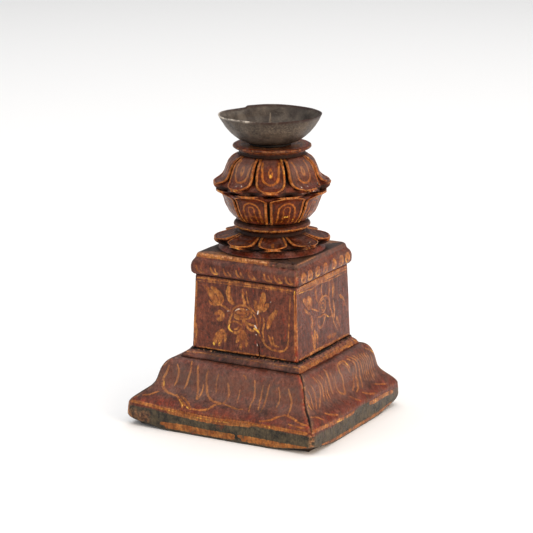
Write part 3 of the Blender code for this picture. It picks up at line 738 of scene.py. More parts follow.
def dado_paint(side, along, height, split, outside):
    """Each face's spray. Places run from the stem's middle."""
    front = side in ("front", "back")
    x = along - (STEM_X if front else STEM_Y)
    half = DADO_HIGH[0] - STEM_X if front else DADO_HIGH[1] - STEM_Y
    edge = ease(1 - (half - np.abs(x)) / 3.4)
    corner = edge * (x > 0 if front else x < 0)
    paint = plain_paint(x.shape)
    paint["gold"] = only(outside > 0, ink(x, height, SPRAY_FRONT if front else SPRAY_SIDE))
    paint["glint"] = only(outside > 0, ink(x, height, SPRAY_FRONT_GLINTS if front else SPRAY_SIDE_GLINTS))
    if side == "front":
        paint["chip"] = only(outside > 0, ink(x, height, CHIPS_FRONT))
    # Painted shade under the cap along the top and on the hidden inside; along the foot, packed grime with
    # painted shade where the dado meets the ledge
    foot = ease(1 - height / 1.6)
    top = ease(1 - (DADO_HEIGHT - height) / 1.2)
    paint["dirt"] = limit(foot + top * 0.7 + split * 1.4 + (1 - outside))
    paint["red"] = limit(edge * 0.4 + corner * 0.9) * outside
    paint["worn"] = limit(edge * 0.3 + corner * front * 0.4) * outside
    paint["vermilion"] = corner * front * 0.7 * outside
    return paint


# The cap board: (half width, height) up its rounded edge
CAP_EDGE = [
    (40.0, 118.8), (44.2, 118.8), (46.1, 119.4), (47.2, 121.0), (47.5, 123.6), (47.5, 126.2),
    (46.9, 128.6), (46.0, 130.2), (45.1, 131.3), (44.6, 132.2), (44.4, 133.1), (44.1, 134.2),
    (43.6, 135.2), (42.8, 135.9), (41.6, 136.1),
]
CAP_INNER = 36.0
CAP_ROUND = 3.6
CAP_ROWS = 72
CAP_DABS_FRONT = (-37, -24.5, -13, -2, 9, 22.5, 31.5, 41)
CAP_DABS_SIDE = (-36, -25.5, -13, 0, 14.5, 27, 37.5)


def cap_strokes(front):
    """Hooked dabs along the cap's rounded edge, thin on the front and back, broad on the sides. Places are
    along the edge and up its surface."""
    strokes = []
    for k, x in enumerate(CAP_DABS_FRONT if front else CAP_DABS_SIDE):
        if front:
            strokes.append((0.95, [(x - 4, 13.6), (x - 3.4, 10.8), (x - 1, 8.8), (x + 2.2, 8.6)]))
            strokes.append((0.7, [(x - 0.4, 12.0 + k % 2), (x + 0.8, 10.2), (x + 2.4, 9.4)]))
        else:
            strokes.append((2.6, [(x - 2.2, 13.4), (x + 0.6, 13.8), (x + 2.2, 11)]))
            strokes.append((1.3, [(x - 3.4, 12.4), (x - 3, 9.8), (x, 8.4), (x + 2.8, 9.2)]))
    return strokes


def cap_board():
    """The cap with its rounded edge, as one sheet round all four sides."""
    edge, travelled = resample(CAP_EDGE, CAP_ROWS, soften=0.3)
    half, heights = np.concatenate([edge, [(CAP_INNER, CAP_TOP - 0.2)]]).T
    climb = np.append(travelled, travelled[-1] + 4)[:, None]
    board_all_round("cap_slab", "cap_board", lambda side: cap_side(side, half, heights, climb))


def cap_side(side, half, heights, climb):
    """One side of the cap, a little uneven and broken at the front right corner, and its paint."""
    middle = np.array([STEM_X, STEM_X, STEM_Y, STEM_Y])
    spread = np.stack([-half, half, 0.5 - half, half - 0.5], axis=1)
    rounding = np.clip(half - 38, 0.2, 1) * CAP_ROUND
    along, out, z = side_sheet(side, middle + spread, heights, rounding, end_heavy(BOARD_COLUMNS)[:-1])
    point = place(side, along, out, z)
    outer = ease((half - 41) / 2)[:, None]
    out = out - outer * (0.15 + 0.3 * waver_at(point, 26, 41) + 0.14 * waver_at(point, 8, 42))
    z = z + outer * 0.25 * waver_at(point, 30, 43) * ease((z - 120) / 6)
    broken = front_corner_break(side, along, z)
    out = out - broken * 1.5
    z = z - broken * 0.8
    return place(side, along, out, z), cap_paint(side, along, climb + 0 * along, z, broken)


def front_corner_break(side, along, z):
    """The splintered top edge beside the front right corner."""
    if side == "front":
        chip = ease((along - STEM_X - 19) / 3) * ease((z - 131.6) / 1.2)
    elif side == "right":
        chip = ease((-37 - (along - STEM_Y)) / 4) * ease((z - 126) / 3)
    else:
        return 0 * along
    return chip * limit(0.5 + 0.55 * waver(along, 0, z * 2.5, 3.5, 44))


def cap_paint(side, along, climb, z, broken):
    """The tan band under the cap's top edge, its dabs, the grime on top, and painted shade in its groove and
    under its edge.
    """
    front = side in ("front", "back")
    x = along - {"front": STEM_X, "right": STEM_Y, "back": -STEM_X, "left": -STEM_Y}[side]
    paint = plain_paint(x.shape)
    band = 1.9 - np.abs(z - 134.6) if front else 0.7 - np.abs(z - 135.6) - 2 * ease((x + 12) / 8)
    dabs = ink(x, climb, cap_strokes(front), dry=0.7)
    paint["gold"] = only(broken <= 0.2, np.where(z > 132.4, band, dabs))
    if front:
        hooks = (CAP_DABS_FRONT[1], CAP_DABS_FRONT[6])
        paint["glint"] = ink(x, climb, [(0.45, [(c - 0.4, 8.8), (c + 1.8, 8.7)]) for c in hooks])
        front_corner = ease((x - 44.0) / 1.8)
        ragged = ease((z - 132.4) / 0.6) * ease((x - 19) / 3)
    else:
        paint["glint"] = np.minimum(dabs - 0.7, 0.15) + 0.5 * np.minimum(waver(x, climb, 0, 6, 45), 0)
        front_corner = ease((-44.0 - x) / 1.8)
        ragged = ease((z - 132.4) / 0.6)
    top = ease((z - 135.4) / 0.7)
    # Painted shade under the cap's edge and in the groove below the band
    under = ease(1 - (z - 119) / 1.6)
    groove = bump_at(z, 132.3, 0.45)
    paint["dirt"] = limit(top * 0.5 + under * 0.8 + groove * 0.3 + 0.3 * ragged + broken * 0.45)
    rubbed = ease((z - 133.9) / 0.8) * (1 - ragged)
    paint["worn"] = limit(rubbed + broken * 0.5 + front_corner * 0.5) * (1 - top)
    paint["chip"] = only(front_corner > 0.3, 0.7 * waver(x, climb, z, 3, 46) - 0.55)
    paint["red"] = limit(bump_at(climb, 5.6, 1.6) * 0.5 + front_corner * 0.4)
    paint["vermilion"] = front_corner * 0.25
    # A grey coat on the broken edge and on the top; along the torus at the right it is a painted sheen
    torus_sheen = bump_at(z, 129, 2) * ease((x - 12) / 8)
    paint["film"] = limit(0.8 * ragged + 0.55 * top + 0.5 * torus_sheen)
    return paint


# Turned and carved rings of the stem

PETAL_ROWS = 72
TURNED_ROWS = 44


def ring_angles(slots):
    """For a ring of petals between slots at the given angles: each column's place across its petal (0 on the
    middle line, 1 at the petal's edge, 2 in the middle of the slot), and its petal's number, middle and half
    pitch."""
    body = np.linspace(0, 1, 17)
    wall = 1 + np.array([0.12, 0.25, 0.42, 0.7])
    half = np.concatenate([body, wall])
    places = np.concatenate([-half[:0:-1], half, [2.0]])
    ends = np.radians(list(slots) + [slots[0] + 360])
    petal = np.repeat(np.arange(len(slots)), len(places))
    return np.tile(places, len(slots)), petal, ((ends[:-1] + ends[1:]) / 2)[petal], (np.diff(ends) / 2)[petal]


def petal_ring(name, node, rows, slots, paint, seed, rim=0.5, dish=0.5, chipped=()):
    """A ring of petals. Each row is (petal radius, height, groove radius, groove height, width as a share of
    the pitch), with heights in mm above the node's bottom. The tips of the chipped petals are broken."""
    floor = box_mm(node)[0][2]
    outline, travelled = resample(rows, PETAL_ROWS, soften=0.45)
    width = outline[:, 4:]
    across, petal, centre, half_pitch = ring_angles(slots)
    on_petal, off_petal = limit(np.abs(across)), limit(np.abs(across) - 1)
    share = ease(off_petal / 0.42)
    from_tip = np.abs(travelled - travelled[np.argmax(outline[:, 0])])[:, None]
    edge = np.minimum((1 - on_petal) * width * half_pitch * outline[:, :1], from_tip + 0.3)
    radius, z = petal_surface(outline, floor, on_petal, share, edge, from_tip, rim, dish)
    turned = np.sign(across) * (on_petal * width + off_petal ** 0.8 * (1 - width))
    angle = centre + turned * half_pitch
    x, y = around(radius, angle)
    rough = 0.24 * waver(x, y, z, 13, seed + 50) + 0.12 * waver(x, y, z, 4.5, seed + 51)
    keep = ease((radius - 27.5) / 3)
    chips = np.isin(petal, chipped) * ease(1 - from_tip / 7) * limit(waver(x, y, z, 3.6, seed + 53))
    radius = radius + (rough - 0.2) * keep - 2.2 * chips
    x, y = around(radius, angle)
    z = np.maximum(z + 0.3 * keep * waver(x, y, z, 15, seed + 52), floor)
    side = np.sign(across) * on_petal * width * half_pitch * outline[:, :1]
    places = [value + 0 * x for value in (travelled[:, None], side, edge, share)]
    attributes = paint(*places, z - floor, petal)
    attributes["gold"] = attributes["gold"] - 4 * chips
    attributes["dirt"] = np.maximum(attributes["dirt"], 0.8 * chips)
    flaked = np.isin(petal, chipped) * (from_tip < 8) * (share < 0.3)
    attributes["chip"] = only(flaked, 0.8 * waver(x, y, z, 2.6, seed + 54) - 0.62)
    attributes = {key: pad_rows(value) for key, value in attributes.items()}
    shown = np.stack([x, y, z], axis=-1)
    points = np.concatenate([bore_row(angle[0], z[0]), shown, bore_row(angle[-1], z[-1])])
    finish_piece(name, sheet_mesh(points), attributes, [node])


def petal_surface(outline, floor, on_petal, share, edge, from_tip, rim, dish):
    """Radius and height over the petals, dished inside a raised rim, and down into the slots between them."""
    petal_r, petal_z, groove_r, groove_z = (outline[:, k:k + 1] for k in range(4))
    raised = np.hypot(petal_r - groove_r, petal_z - groove_z)
    inner = ease((edge - 1.2) / 3.5) * (1 - on_petal ** 2) * ease((from_tip - 1.5) / 4)
    lift = (rim * bump_at(edge, 0.9, 0.75) - dish * inner) * ease(raised / 1.5) * (1 - share)
    out_r, out_z = outward(outline)
    radius = petal_r + lift * out_r + (groove_r - petal_r) * share
    z = floor + petal_z + lift * out_z + (groove_z - petal_z) * share
    return radius, z


def bore_row(angle, z):
    """A level row of points down in the bore, at a row's middle height."""
    return np.stack([*around(BORE_RADIUS, angle), np.full(angle.shape, z.mean())], axis=-1)[None]


def outward(outline):
    """The direction out of an outline that runs up a turned piece: how far along the radius, how far up."""
    radius_step, height_step = np.gradient(outline[:, 0]), np.gradient(outline[:, 1])
    length = np.maximum(np.hypot(radius_step, height_step), 1e-6)
    return (height_step / length)[:, None], (-radius_step / length)[:, None]


def pad_rows(value):
    """Repeats the first and last rows for the bore's two rows."""
    return np.concatenate([value[:1], value, value[-1:]])


def arch(travel, side, foot, half):
    """Distance from a round-ended arch that ends foot mm from the petal's tip, half mm wide on each side."""
    below = np.minimum(travel - foot - half, 0)
    return np.abs(np.hypot(side, below) - half)


# The petals' rows, from the ring's bottom to its top, as petal_ring takes them
UPPER_LOTUS = [
    (35.0, 0.0, 35.0, 0.0, 0.93), (39.2, 0.3, 38.6, 0.5, 0.86), (41.8, 1.0, 40.4, 1.4, 0.72),
    (43.8, 2.0, 41.0, 2.6, 0.54), (45.0, 3.2, 41.0, 3.8, 0.33), (45.5, 4.3, 40.8, 4.8, 0.13),
    (45.2, 5.2, 40.2, 5.8, 0.36), (43.6, 6.3, 39.2, 6.8, 0.57), (41.2, 7.5, 37.5, 8.0, 0.73),
    (39.4, 9.0, 35.7, 9.2, 0.82), (38.2, 11.0, 34.1, 11.2, 0.87), (37.2, 13.4, 32.8, 13.4, 0.895),
    (36.2, 16.2, 31.6, 16.2, 0.90), (34.8, 19.4, 30.4, 19.4, 0.90), (32.5, 22.4, 28.8, 22.4, 0.90),
    (29.2, 24.8, 27.4, 24.8, 0.90), (27.8, 25.8, 27.4, 25.8, 0.93), (27.0, 26.4, 27.0, 26.4, 0.93),
    (26.0, 27.0, 26.0, 27.0, 0.93),
]
LOWER_LOTUS = [
    (26.0, 0.0, 26.0, 0.0, 0.90), (28.2, 0.9, 27.8, 0.9, 0.90), (30.6, 3.2, 28.0, 3.2, 0.905),
    (33.1, 6.2, 29.0, 6.4, 0.905), (35.7, 11.0, 31.4, 11.2, 0.91), (37.3, 15.6, 33.2, 15.6, 0.91),
    (38.4, 18.8, 36.0, 18.4, 0.91), (39.6, 20.6, 38.2, 20.2, 0.90), (41.0, 21.8, 39.8, 21.2, 0.84),
    (42.6, 22.9, 40.9, 22.2, 0.70), (43.9, 23.9, 41.3, 23.0, 0.46), (44.6, 24.7, 41.4, 23.6, 0.18),
    (44.2, 25.2, 41.2, 24.0, 0.40), (42.0, 25.2, 40.6, 24.2, 0.68), (38.6, 24.6, 38.0, 24.2, 0.85),
    (35.0, 24.3, 35.0, 24.3, 0.90),
]
ROSETTE = [
    (36.4, 0.0, 36.4, 0.0, 0.84), (41.0, 0.5, 37.4, 0.4, 0.75), (43.0, 1.0, 38.0, 0.8, 0.60),
    (44.4, 1.7, 38.2, 1.3, 0.41), (45.0, 2.4, 38.2, 1.6, 0.22), (45.2, 3.0, 38.2, 1.8, 0.12),
    (45.1, 3.4, 38.1, 2.1, 0.19), (44.6, 3.8, 37.9, 2.3, 0.36), (43.6, 4.05, 37.5, 2.6, 0.53),
    (42.0, 4.35, 37.0, 2.9, 0.69), (39.8, 4.8, 36.2, 3.4, 0.80), (36.4, 5.7, 33.8, 4.4, 0.87),
    (33.0, 6.6, 31.4, 5.8, 0.90), (30.6, 7.4, 30.2, 7.2, 0.92), (28.2, 8.3, 28.2, 8.3, 0.93),
]
# Where the slots between the petals lie, in degrees round the stem
UPPER_SLOTS = (-83.4, -43.4, 6.6, 51.6, 96.6, 141.6, 190.6, 238.6)
LOWER_SLOTS = (-109.9, -65.9, -19.7, 25.3, 70.3, 115.3, 160.3, 205.3)
ROSETTE_SLOTS = (-80.4, -40.9, 4.1, 51.6, 96.6, 141.6, 186.6, 236.6)


def tip_of(rows, travelled):
    """Where along the travelled outline the widest point, the petal's tip, lies."""
    return travelled[np.argmax(resample(rows, len(travelled), soften=0.45)[0][:, 0])]


def petal_paint(from_tip, side, edge, share, petal, marks):
    """Paint depths on petals: gold-coloured rims, brightest in patches, and the given marks. A darker line
    just inside the rim is given beside them, for each ring to add to its own."""
    paint = plain_paint(side.shape)
    on_face = (share < 0.3) & (from_tip > -1.2)
    rim = 1.2 - np.abs(edge - 0.6)
    patch = waver(side, from_tip, 9.0 * petal, 7, 91)
    paint["gold"] = only(on_face, np.maximum(rim, marks))
    paint["glint"] = only(on_face, 0.6 * patch - 0.1 - np.abs(edge - 0.6))
    # Rims rubbed pale, partly a painted highlight on their raised edges
    paint["worn"] = np.where(on_face, bump_at(edge, 0.5, 0.8) * 0.5, 0)
    paint["red"] = (0.15 + 0.4 * bump_at(from_tip, 2, 3)) * (1 - 0.5 * share)
    paint["amber"] = np.full(side.shape, 1.0)
    return paint, np.where(on_face, bump_at(edge, 2.5, 0.55) * 0.55, 0.0)


def paint_upper(travel, side, edge, share, height, petal):
    """U-shaped marks round a dab; the front petal the reddest, its neighbours given a painted grey sheen at
    the top.
    """
    from_tip = travel - tip_of(UPPER_LOTUS, travel[:, 0])
    outer = 0.9 - arch(from_tip, side, 8.6, 6.4)
    oval = np.abs(np.hypot(side, (from_tip - 18) / 2.2) - 1.3)
    marks = only((height < 25) & (height > 1), np.maximum(outer, 0.7 - oval))
    paint, rim_line = petal_paint(from_tip, side, edge, share, petal, marks)
    drop = only((share < 0.1) & (petal == 0), 0.9 - np.hypot(side, (from_tip - 15.6) / 1.6))
    paint["glint"] = np.maximum(paint["glint"], drop)
    # Painted sheen: the two side petals are greyed towards their tops, as gloss would show
    petal_sheen = np.isin(petal, (1, 7)) * bump_at(height, 19, 6) * ease((edge - 1) / 1.5)
    paint["film"] = petal_sheen
    paint["amber"] = paint["amber"] * (1 - petal_sheen)
    # Painted shade under the tips, down the slots between the petals and in the neck under the collar
    below = ease((-from_tip - 0.6) / 1.5) * 0.6
    slot = ease(share * 1.8 - 0.1) * ease((26 - height) / 1.5) * (0.25 + 0.75 * ease((height - 7) / 4))
    neck = ease((height - 26.2) / 0.6) * 0.5
    paint["dirt"] = limit(slot + below + neck + rim_line)
    return paint


def paint_lower(travel, side, edge, share, height, petal):
    """Nested arches over two dots, with dabs beside the foot of each petal."""
    from_tip = tip_of(LOWER_LOTUS, travel[:, 0]) - travel
    sway = 0.5 * waver(side, from_tip, 5.0 * petal, 12, 92)
    outer = 0.75 - arch(from_tip, side + sway, 8.4, 6.9)
    inner = 0.6 - arch(from_tip, side - sway, 11.5, 2.6)
    dots = 0.8 - np.hypot(np.abs(side) - 0.9, (from_tip - 20.5) / 1.2)
    tongue = 0.8 - np.hypot(side - 6.4, (from_tip - 24) / 2.2)
    marks = only(height > 2.2, np.max([outer, inner, dots, tongue], axis=0))
    paint, rim_line = petal_paint(from_tip, side, edge, share, petal, marks)
    drop = 0.9 - np.hypot(side + 11.5, (height - 4.4) / 1.8)
    bright = only(petal == 1, np.max([dots, drop, tongue - 0.3], axis=0))
    paint["glint"] = only(share < 0.1, np.maximum(paint["glint"], bright))
    # Painted shade past the curled-up tips, down the slots and at the foot against the collar below
    above = ease(-from_tip / 1.5) * 0.3
    in_slot = ease(share * 1.8 - 0.1) * (1 - 0.8 * ease((height - 18.5) / 2))
    slot = in_slot * ease((height - 1.4) / 1.5)
    foot = ease(1 - height / 1.8) * 0.7
    paint["dirt"] = limit(slot + above + foot + rim_line)
    return paint


def paint_rosette(travel, side, edge, share, height, petal):
    """Some petals carry one broad stroke, the others an arch."""
    from_tip = travel - tip_of(ROSETTE, travel[:, 0])
    middle = np.where(petal % 3 == 0, 1.4 - np.abs(side), 0.5 - arch(from_tip, side, 4.4, 6.4))
    marks = only((from_tip < 12) & (from_tip > 3), middle - 0.2)
    paint, rim_line = petal_paint(from_tip, side, edge, share, petal, marks)
    # Painted shade under the tips, down the slots and where the lower collar sits on top; the petals' hollows
    # are darker too
    below = ease((-from_tip - 0.6) / 1.0) * 0.7
    hollow = 0.35 * ease((edge - 2.5) / 3) * (1 - share)
    slot = ease(share * 1.6 - 0.2) * 0.65 + rim_line
    paint["dirt"] = limit(slot + below + hollow + ease((height - 7.2) / 1.0) * 0.3)
    return paint


def turned_ring(name, node, outline, paint, seed=2, centre=(STEM_X, STEM_Y), rough=0.12, columns=180, **kind):
    """A ring turned from (radius, height above the node's bottom) and worn a little uneven."""
    floor = box_mm(node)[0][2]
    rows, travelled = resample(outline, TURNED_ROWS, soften=0.4)
    angle = full_turn(columns)
    radius = rows[:, :1] + 0 * angle
    z = floor + rows[:, 1:2] + 0 * angle
    x, y = around(radius, angle, centre)
    wide = ease((radius - BORE_RADIUS - 12) / 5)
    radius = radius - wide * rough * (0.6 + waver(x, y, z, 19, seed) + 0.5 * waver(x, y, z, 6, seed + 1))
    x, y = around(radius, angle, centre)
    attributes = paint(travelled[:, None] + 0 * x, z - floor, radius)
    finish_piece(name, sheet_mesh(np.stack([x, y, z], axis=-1)), attributes, [node], **kind)


# The collars and the foot: (radius, height above the node's bottom)
UPPER_COLLAR = [
    (8.3, 0.0), (26.4, 0.0), (25.4, 1.4), (25.4, 2.9), (27.4, 3.6), (29.8, 4.4), (30.8, 5.4),
    (30.6, 6.3), (29.6, 6.9), (27.8, 6.8), (25.8, 6.6), (23.2, 6.4), (8.3, 6.4),
]
LOWER_COLLAR = [
    (8.3, 0.0), (27.4, 0.0), (26.7, 0.8), (26.5, 2.2), (26.9, 3.3), (28.9, 3.9), (30.0, 5.0),
    (30.1, 6.2), (29.3, 7.4), (27.8, 8.4), (26.4, 9.2), (8.3, 9.2),
]
FOOT = [(8.3, 0.0), (42.0, 0.0), (41.8, 0.5), (40.6, 1.2), (39.2, 2.2), (38.4, 3.3), (38.0, 4.4), (8.3, 4.4)]


def paint_upper_collar(travel, height, radius):
    """A patchy gold-coloured bead over a neck in painted shade, with vermilion round its seat."""
    paint = plain_paint(travel.shape)
    patch = 0.7 * waver(travel * 3, radius, height, 5, 93)
    line = np.minimum(np.abs(height - 4.1), np.abs(radius - 29.2) + 2 * (height < 5))
    streaks = patch + 0.3 - np.abs(radius - 24.6)
    paint["gold"] = np.where(radius > 28, 0.4 - line + 0.6 * patch, only(height > 5, streaks))
    # Painted shade in the neck under the bead, and a painted shadow of the bowl on the top
    neck = ease(1 - (height - 1.6) / 1.6) * 0.8
    seat = ease((28.2 - radius) / 1.5) * (height > 5) * 0.2
    middle = bump_at(height, 5.1, 0.7) * (radius > 29) * 0.35
    paint["dirt"] = limit(neck + seat + middle)
    paint["vermilion"] = np.where(height > 6, bump_at(radius, 27.2, 0.8), 0.0)
    # Pale lines on the bead's top and bottom edges: wear, partly a painted highlight
    edges = (bump_at(height, 6.1, 0.4) + bump_at(height, 4.1, 0.4)) * (radius > 29) * 0.7
    paint["worn"] = edges + (height > 6) * (radius < 26) * 0.5
    paint["amber"] = np.full(travel.shape, 1.0)
    return paint


def paint_lower_collar(travel, height, radius):
    """A gold-coloured line round the bead, and painted shade in the neck under it."""
    paint = plain_paint(travel.shape)
    patch = 0.7 * waver(travel * 3, radius, height, 5, 94)
    paint["gold"] = only(radius > 28.4, 0.8 - np.abs(height - 5.0) + 0.7 * patch)
    paint["glint"] = only(radius > 29.6, 0.35 - np.abs(height - 5.4))
    # Painted shade in the neck under the bead
    neck = ease(1 - (height - 2.8) / 1.4) * 0.75
    slope = ease((height - 7.2) / 1.0) * 0.6
    paint["dirt"] = limit(neck + slope)
    paint["worn"] = bump_at(height, 5.1, 0.6) * 0.8
    paint["amber"] = np.full(travel.shape, 1.0)
    return paint


def paint_foot(travel, height, _radius):
    """A plain disc, redder round its edge, with painted shade below it against the cap and above it under the
    petals.
    """
    paint = plain_paint(travel.shape)
    paint["dirt"] = limit(ease(1 - height / 0.8) * 0.7 + ease((height - 2.4) / 1.4) * 0.5)
    paint["red"] = 0.55 * bump_at(height, 1.2, 1.6)
    return paint


# Ironwork

# The bowl's underside from its flat foot to its rim: (radius, height)
BOWL_WALL = [
    (17.0, 0.0), (21.5, 0.9), (25.0, 2.6), (28.0, 4.9), (31.3, 7.9), (34.9, 12.4), (37.7, 17.3),
    (39.3, 20.9),
]
BOWL_HOLE = 3.8
BOWL_THICK = 1.8
BOWL_REACH = 40.4
BOWL_ROWS = 130
BOWL_COLUMNS = 240
SPIKE_HALF = 2.25
SPIKE_ROWS = 90
SPIKE_COLUMNS = 48
WASHER_HOLE = 4.2
LEFT_OF_BOWL = math.radians(208)
RIGHT_OF_BOWL = math.radians(28)


def bowl_outline(depth):
    """Out along the underside from the hole, over the rim and back down the inside, and where the rim is."""
    outer = [(BOWL_HOLE, 0.0)] + BOWL_WALL
    rim = [(39.7, depth - 0.7), (39.55, depth - 0.1), (39.1, depth), (38.5, depth - 0.6)]
    wall_down = BOWL_WALL[-2::-1]
    inner = [(r - 1.5 * min(1, h / 8), h + BOWL_THICK - min(1.0, h / 16)) for r, h in wall_down]
    outline, travelled = resample(outer + rim + inner + [(BOWL_HOLE, BOWL_THICK)], BOWL_ROWS, soften=0.45)
    return outline, (travelled - travelled[np.argmax(outline[:, 1])])[:, None]


def drip_bowl():
    """A hammered pan with an uneven rim: a notch at the back left and a lip drawn out on the right."""
    depth = BOWL_HIGH[2] - BOWL_LOW[2]
    outline, past_rim = bowl_outline(depth)
    angle = full_turn(BOWL_COLUMNS)
    radius = outline[:, :1] + 0 * angle
    height = outline[:, 1:2] + 0 * angle
    high = ease(height / depth)
    x, y = radius * np.cos(angle), radius * np.sin(angle)
    hammer = 0.22 * waver(x, y, height, 9, 61) + 0.3 * waver(x, y, height, 26, 62)
    drawn_out = 1.4 * angle_hill(angle, LEFT_OF_BOWL, 0.5) + 1.2 * angle_hill(angle, RIGHT_OF_BOWL, 0.16)
    radius = radius + ease((radius - 6) / 8) * (hammer - 0.4 + high * (drawn_out - 0.3))
    past_notch = ease((angle - math.radians(146)) / 0.06)
    low_side = past_notch * angle_hill(angle, math.radians(165), 0.5) * 1.5
    height = height - ease((height - depth + 7) / 7) * (low_side + 0.15 + 0.15 * np.sin(5 * angle + 1.0))
    height = np.clip(height, 0, depth)
    radius = np.minimum(radius, BOWL_REACH)
    points = np.stack([*around(radius, angle, (SPIKE_X, SPIKE_Y)), BOWL_LOW[2] + height], axis=-1)
    attributes = bowl_paint(angle, radius, height, past_rim)
    finish_piece("iron_bowl", sheet_mesh(points), attributes, ["drip_bowl"], "bowl", "iron")


def bowl_paint(angle, radius, height, past_rim):
    """A painted shadow underneath, a rubbed lighter band round the wall, painted light and shade inside, and
    a rim with a painted highlight at the front and rust with painted shade elsewhere.
    """
    on_rim = np.abs(past_rim) + 0 * angle
    under = ease(1 - past_rim / 0.5)
    # Painted highlight: arcs of the rim that catch the light, shown as bright bare metal
    rim_highlight_arcs = angle_hill(angle, math.radians(-130), 0.4) + angle_hill(angle, math.radians(-91), 0.06)
    band = bump_at(height, 14, 6) * (radius > 24) * under
    # Painted light on the inside of the bowl, strongest on its left and right walls
    painted_inside_light = 0.9 * angle_hill(angle, LEFT_OF_BOWL, 0.8) + 0.5 * angle_hill(angle, RIGHT_OF_BOWL, 0.5)
    return {
        "edge": limit(bump_at(on_rim, 0, 1.3) * 1.6 * rim_highlight_arcs),
        # Painted shadow on the underside, where the bowl sits over the washer
        "underside_shadow": ease(1 - height / 1.6) * under,
        # Rust along the rim, laid wide enough to stand also for painted shade along its edge
        "rust": limit(2.0 * bump_at(on_rim, 0.4, 1.6)) * (1 - 0.9 * limit(rim_highlight_arcs)),
        "band": band * (0.4 + 0.6 * angle_hill(angle, math.radians(-40), 0.9)),
        # Painted shade: the inside of the bowl is darkened
        "inside": ease(past_rim / 1.5) + 0 * angle,
        "painted_inside_light": painted_inside_light + 0 * radius,
    }


def angle_hill(angle, centre, width):
    """A hill round one direction, whatever turn the angle is counted in."""
    return np.exp((np.cos(angle - centre) - 1) / width ** 2)


def iron_spike():
    """A forged square spike: flat-sided, a little twisted, drawn out to its point."""
    low, high = SPIKE_LOW[2], SPIKE_HIGH[2]
    heights = np.linspace(low, high, SPIKE_ROWS)[:, None]
    stations = [low, DOWEL_HIGH[2] - 2, BOWL_LOW[2], BOWL_LOW[2] + 4, high - 8, high]
    taper = np.interp(heights, stations, [0.35, 0.9, 1.0, 0.9, 0.52, 0.1])
    turn = full_turn(SPIKE_COLUMNS)
    flat = np.minimum(1 / np.maximum(np.abs(np.cos(turn)), np.abs(np.sin(turn))), 1.3)
    radius = taper * SPIKE_HALF * flat
    twist = turn + 0.25 * ((heights - low) / (high - low)) + math.radians(20)
    x, y = radius * np.cos(twist), radius * np.sin(twist)
    z = heights + 0 * x
    wobble = 1 + 0.05 * waver(x * 3, y * 3, z, 5, 71)
    points = np.stack([SPIKE_X + x * wobble, SPIKE_Y + y * wobble, z], axis=-1)
    attributes = {key: np.zeros(z.shape) for key in ("underside_shadow", "band", "painted_inside_light", "inside")}
    attributes["edge"] = np.full(z.shape, 0.3)
    attributes["rust"] = limit(0.3 + 0.3 * waver(x, y, z, 9, 72))
    sheet = sheet_mesh(points, wrap_rows=False)
    finish_piece("iron_spike", sheet, attributes, ["pricket_spike"], slot="iron")


def leather_washer():
    """The black ring that the bowl sits on, dark enough to paint the shadow line under the bowl as well."""
    low, high = box_mm("bowl_washer")
    thick = high[2] - low[2]
    reach = (high[0] - low[0]) / 2
    edge = [(reach - 0.5, 0.0), (reach, 0.5), (reach, thick - 0.5), (reach - 0.5, thick)]
    outline = [(WASHER_HOLE, 0.0)] + edge + [(WASHER_HOLE, thick)]
    turned_ring("seat_washer", "bowl_washer", outline, lambda *_: {}, centre=(SPIKE_X, SPIKE_Y), rough=0.3,
                columns=120, body="washer", slot="leather")


# Shaders

def srgb(red, green, blue):
    """A linear colour from 0-255 screen values."""
    channels = np.array([red, green, blue]) / 255
    return tuple(np.where(channels > 0.04045, ((channels + 0.055) / 1.055) ** 2.4, channels / 12.92)) + (1.0,)


